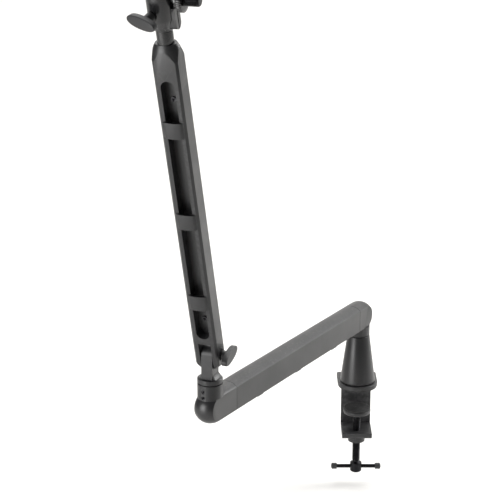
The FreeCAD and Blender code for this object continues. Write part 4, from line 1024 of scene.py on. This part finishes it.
# --- upper arm
@dataclass
class Wing(Assembly):
    """Oval wing on a short hub, as used at the elbow and on the head."""

    turn: float = 85.0
    long: float = 43.0
    wide: float = 15.5
    thick: float = 9.0
    hub: float = 7.0
    hub_small: float = 5.2

    def skin(self, hub_long: float, bore: float) -> Skin:
        """Blade and hub drawn along +Z from the face of the hub, long in X.

        Args:
            hub_long: length of the hub.
            bore: radius of the hole that shows in the hub's face.

        Returns:
            The skin; the blade starts a little inside the end of the hub.
        """
        blade = paddle(self.long, self.wide, self.thick - 0.9, 1.5, 0.45)
        blade.moved(lambda points: points + np.array([0.0, 0.0, hub_long + 0.45]))
        profile = rounded([(bore, 0.0, 0.2), (self.hub, 0.0, 0.6), (self.hub_small + 0.5,
                           hub_long * 0.7, 2.0), (self.hub_small + 0.6, hub_long + 1.2, 0.0),
                           (bore, hub_long + 1.2, 0.0)], 5)
        return blade.add(lathe(profile, 64), wrap_rows=True)

    def fit(self, name: str, skin: Skin, face: float, place: Place, sideways: bool, body: str,
            node: str) -> None:
        """Stands a wing on its bolt and replaces its node.

        Blade's X goes to the frame's Z, turned about the bolt; its Z to the bolt's outer end.

        Args:
            name, skin, place: as for make_piece.
            face: distance of the hub's face from the frame's origin.
            sideways: whether the bolt points along the frame's X rather than against its Y.
            body, node: as for dress.
        """
        cos, sin = math.cos(math.radians(self.turn)), math.sin(math.radians(self.turn))

        def stand(points: Array) -> Array:
            """Points of the blade in the frame."""
            x, y, z = points.T
            across, rise, out = y * cos - x * sin, y * sin + x * cos, z + face
            return np.stack([out, across, rise] if sideways else [across, -out, rise], axis=1)

        piece = make_piece(name, skin.moved(stand), place, 35)
        self.dress(piece, body, "moulded_black", node)


@dataclass
class UpperArm(Assembly):
    """Chamfered extrusion with a cable channel in front, fork, domed end and stem."""

    width: float = 33.0
    thick: float = 26.9
    clip_long: float = 22.0
    clip_wide: float = 26.0
    clip_rise: float = 2.2
    clip_thick: float = 1.4
    clip_leg: float = 9.0
    channel_half: float = 8.9
    clip_places: tuple[float, ...] = (91.5, 215.0, 345.5)
    stem: float = 10.2
    stem_high: float = 17.5
    stem_core: float = 6.0
    washer: float = 1.2

    def build(self) -> None:
        """Builds every piece of the upper arm."""
        self.soften("upper_arm_tube", "upper_arm", "satin_black_paint", 0.4)
        self.soften("fork_end", "upper_arm", "satin_black_cap", 0.4)
        self.soften("upper_end_cap", "upper_arm", "satin_black_cap", 0.5, 3)
        self.clips()
        self.stem_piece()
        self.wing()
        for node in ("channel_screws", "elbow_bolt", "thrust_washer", "stem_grub_screw",
                     "head_clip"):
            self.keep(node, "dark_steel")
        self.keep("elbow_wing_insert", "brass_insert")

    def clips(self) -> None:
        """Bowed straps over the channel.

        A strap's height above the front face is the rise times one less the square of the
        distance from the middle over the half width, and its section is carried along the
        arm; over the outer quarter of each side the strap thins towards its free edge.
        """
        half = self.clip_wide / 2
        across = np.linspace(-1, 1, 41)
        bow = self.clip_rise * (1 - across ** 2)
        front = self.thick / 2
        outer = np.stack([across * half, front + 0.1 + self.clip_thick * np.minimum(
            1.0, 3.5 * (1.05 - np.abs(across))) + bow], axis=1)
        leg_out, leg_in = self.channel_half, self.channel_half - self.clip_thick

        def under(x: float) -> tuple[float, float]:
            """Point of the strap's under side at a distance from the middle."""
            return x, front + 0.1 + self.clip_rise * (1 - (x / half) ** 2)

        right = [(*under(half - 0.3), 0.0), (*under(leg_out), 0.3),
                 (leg_out, front - self.clip_leg, 0.5), (leg_in, front - self.clip_leg, 0.5),
                 (*under(leg_in), 0.8)]
        middle = [(*under(x), 0.0) for x in np.linspace(leg_in - 1.2, -leg_in + 1.2, 15)]
        left = [(-x, y, r) for x, y, r in right[::-1]]
        inside = rounded([*right, *middle, *left], 3, closed=False)
        outline = np.concatenate([outer, inside])
        skin = Skin()
        for place in self.clip_places:
            grid = sweep(outline, rounded_ends(place - self.clip_long / 2,
                                               place + self.clip_long / 2, 0.4))
            skin.add(grid * np.array([1.0, -1.0, 1.0]))
        self.dress(make_piece("channel_clips", skin, self.places["upper"]), "upper_arm",
                   "moulded_black", "upper_cable_clips")

    def stem_piece(self) -> None:
        """Turned stem between the domed end and the head."""
        stem = self.places["head"].moved(z=-self.stem_high)
        top = self.stem_high + 12.5
        core, groove = self.stem_core, self.stem_core - 1.0
        profile = rounded([
            (0.0, -17.0, 0.0), (core, -17.0, 0.4), (core, 0.0, 0.2), (self.stem - 0.4, 0.0, 0.3),
            (self.stem, 0.6, 0.4), (self.stem, self.stem_high - 0.8, 0.6),
            (self.stem - 0.8, self.stem_high, 0.4), (core, self.stem_high, 0.2),
            (core, top - 3.0, 0.1), (groove, top - 3.0, 0.1), (groove, top - 1.8, 0.1),
            (core, top - 1.8, 0.1), (core, top, 0.5), (0.0, top, 0.0)], 4, closed=False)
        self.turned("turned_stem", profile, stem, "upper_arm", "head_black", "head_stem")

    def wing(self) -> None:
        """Wing that tightens the elbow, outside the right ear of the fork."""
        wing = Wing(self.places, self.paints)
        wing.fit("elbow_wing_moulded", wing.skin(5.0, 5.22), self.width / 2 + self.washer + 0.15,
                 self.places["upper"], True, "elbow_knob", "elbow_wing")


# --- head
@dataclass
class Head(Assembly):
    """Ball housing, its wing, the ball with its flange, the stud and its ring."""

    ball: float = 11.0
    neck: float = 4.6
    flange_start: float = 20.4
    flange_thick: float = 3.6
    flange: float = 11.5
    stud: float = 7.94
    stud_long: float = 26.0
    stud_pitch: float = 25.4 / 27
    ring: float = 15.5
    ring_thick: float = 6.0
    ring_gap: float = 1.0
    ring_lobes: int = 30
    housing: float = 16.6
    spigot_deep: float = 12.0
    socket: float = 4.62
    socket_deep: float = 12.2

    def build(self) -> None:
        """Builds every piece of the head."""
        self.soften("head_housing", "head", "head_black", 0.5, 3)
        self.keep("ball_seat", "bearing_plastic")
        self.wing()
        self.ball_piece()
        self.stud_piece()
        self.ring_piece()

    def wing(self) -> None:
        """Wing and screw that lock the ball."""
        wing = Wing(self.places, self.paints)
        wing.fit("head_wing_moulded", wing.skin(11.0, 3.02), self.housing + 0.6,
                 self.places["lock"].moved(y=self.housing), False, "head_knob", "head_wing")
        self.keep("head_lock_screw", "plain_steel")

    def ball_piece(self) -> None:
        """Ball, neck and flange turned in one about the stud's axis."""
        place = self.places["ball"].lying(SIDEWAYS)
        reach = math.sqrt(self.ball ** 2 - self.neck ** 2)
        angle = np.linspace(0, math.pi - math.asin(self.neck / self.ball), 49)
        ball = self.ball * np.stack([np.sin(angle), -np.cos(angle)], axis=1)
        end = self.flange_start + self.flange_thick
        rest = rounded([
            (self.neck, reach, 0.0), (self.neck, self.flange_start, 1.2),
            (self.flange, self.flange_start, 0.7), (self.flange, end, 0.7),
            (self.neck, end, 0.2), (self.neck, end + self.spigot_deep, 0.4),
            (0.0, end + self.spigot_deep, 0.0)], 5, closed=False)
        self.turned("ball_and_flange_turned", np.concatenate([ball, rest[1:]]), place, "ball",
                    "head_black", "ball_and_flange")

    def stud_piece(self) -> None:
        """Threaded stud with a plain core, a bevelled nose and a blind socket behind."""
        place = self.places["ball"].lying(SIDEWAYS)
        start = self.flange_start + self.flange_thick
        end = start + self.stud_long
        root = self.stud - 0.55
        blind = start + self.socket_deep
        core = rounded([(self.socket, start, 0.0), (self.stud - 0.2, start, 0.1),
                        (root, start + 0.6, 0.1), (root, end - 1.0, 0.4), (root - 0.9, end, 0.3),
                        (0.0, end, 0.0), (0.0, blind, 0.0), (self.socket, blind, 0.0)], 3)
        skin = Skin().add(lathe(core, 96), wrap_rows=True)
        skin.add(thread(self.stud, 0.57, self.stud_pitch, start + 0.2, end - 0.4, 0.16, 48),
                 caps=False, wrap_columns=False)
        self.dress(make_piece("threaded_stud", skin, place, 50), "ball", "dark_steel", "mic_stud")

    def ring_piece(self) -> None:
        """Locking ring with a scalloped grip.

        The outer radius dips by 0.55 millimetres times the fourth power of a cosine that
        repeats once a lobe, faded out inside the rim.
        """
        place = self.places["ball"].lying(SIDEWAYS)
        low = self.flange_start + self.flange_thick + self.ring_gap
        section = ring_profile(self.stud + 0.06, self.ring, low, low + self.ring_thick, 0.8)
        grid = lathe(section, self.ring_lobes * 10)
        angle = np.linspace(0, 2 * math.pi, self.ring_lobes * 10, endpoint=False)
        dip = 0.55 * np.cos(self.ring_lobes * angle / 2) ** 4
        outside = np.clip((section[:, 0] - self.ring + 1.4) / 1.2, 0, 1)
        scale = 1 - dip[None] * outside[:, None] / np.maximum(section[:, :1], 1e-6)
        grid[..., :2] *= scale[..., None]
        self.dress(make_piece("scalloped_ring", Skin().add(grid, wrap_rows=True), place),
                   "stud_ring", "head_black", "lock_ring")


# --- room
@dataclass(frozen=True)
class Room:
    """Pale floor, soft lights and the camera."""

    floor: float = -0.1645
    lens: float = 122.49
    eye: tuple[float, float, float] = (-0.1661, -2.445, 0.995)
    pitch: float = 17.6

    def build(self) -> None:
        """Builds the room."""
        self.lay_floor()
        self.light("left_soft", (-1.40, -1.30, 0.30), (-0.35, -0.30, 0.05), 0.9, 20.0)
        self.light("back_wash", (0.35, 1.60, 2.30), (0.35, 1.50, -0.16), 3.8, 115.0)
        self.light("top_soft", (-0.45, -0.35, 2.20), (-0.30, -0.30, 0.30), 0.8, 4.0)
        self.light("right_soft", (1.50, 0.45, 0.90), (0.60, 0.25, -0.16), 0.9, 28.0)
        world = bpy.data.worlds.new("studio")
        world.use_nodes = True
        background = world.node_tree.nodes["Background"]
        background.inputs[0].default_value = (1.0, 1.0, 1.0, 1.0)
        background.inputs[1].default_value = 0.14
        bpy.context.scene.world = world
        bpy.context.scene.view_settings.view_transform = "Standard"
        self.place_camera()

    def lay_floor(self) -> None:
        """Plain pale floor, swept up behind as one curved sheet."""
        run = np.linspace(-3.0, 1.6, 24)
        bend = np.linspace(0, math.pi / 2, 13)[1:]
        rise = np.linspace(1.2, 4.0, 8)[1:]
        depth = np.concatenate([run, 1.6 + 1.2 * np.sin(bend), np.full(7, 2.8)])
        height = np.concatenate([np.zeros(24), 1.2 * (1 - np.cos(bend)), rise])
        x, y = np.meshgrid(np.linspace(-3.5, 3.5, 9), depth)
        grid = np.stack([x, y, np.broadcast_to(height[:, None] + self.floor, x.shape)], axis=2)
        mesh = bpy.data.meshes.new("studio_floor")
        mesh.from_pydata(grid.reshape(-1, 3).tolist(), [],
                         grid_faces(len(depth), 9, False, False).tolist())
        mesh.shade_smooth()
        floor = placed("studio_floor", mesh)
        material = bpy.data.materials.new("pale_floor")
        material.use_nodes = True
        shader = material.node_tree.nodes["Principled BSDF"]
        shader.inputs["Base Color"].default_value = (0.86, 0.85, 0.83, 1.0)
        shader.inputs["Roughness"].default_value = 0.6
        mesh.materials.append(material)

    @staticmethod
    def light(name: str, spot: tuple[float, float, float], target: tuple[float, float, float],
              size: float, power: float) -> None:
        """Adds a soft square light.

        Args:
            name: the light's name.
            spot: where it stands, in metres.
            target: the point it faces.
            size: its side.
            power: its power in watts.
        """
        lamp = bpy.data.lights.new(name, "AREA")
        lamp.size = size
        lamp.energy = power
        item = placed(name, lamp)
        item.location = spot
        aim = np.array(target) - np.array(spot)
        item.rotation_euler = Vector(aim.tolist()).to_track_quat("-Z", "Y").to_euler()

    def place_camera(self) -> None:
        """Puts the camera in front of the arm, a little above it, looking down."""
        data = bpy.data.cameras.new("camera")
        data.lens = self.lens
        data.sensor_width = 36.0
        data.clip_end = 50.0
        camera = placed("camera", data)
        camera.location = self.eye
        camera.rotation_euler = (math.radians(90 - self.pitch), 0.0, 0.0)
        bpy.context.scene.camera = camera


def main() -> None:
    """Builds the sub-assemblies in order, then the room."""
    logging.basicConfig(level=logging.INFO, format="%(message)s")
    places = frames()
    paints = Paintbox()
    for kind in (DeskClamp, LowerArm, Elbow, UpperArm, Head):
        assembly = kind(places, paints)
        assembly.build()
        LOG.info("%s built", kind.__name__)
    Room().build()


if __name__ == "__main__":
    main()
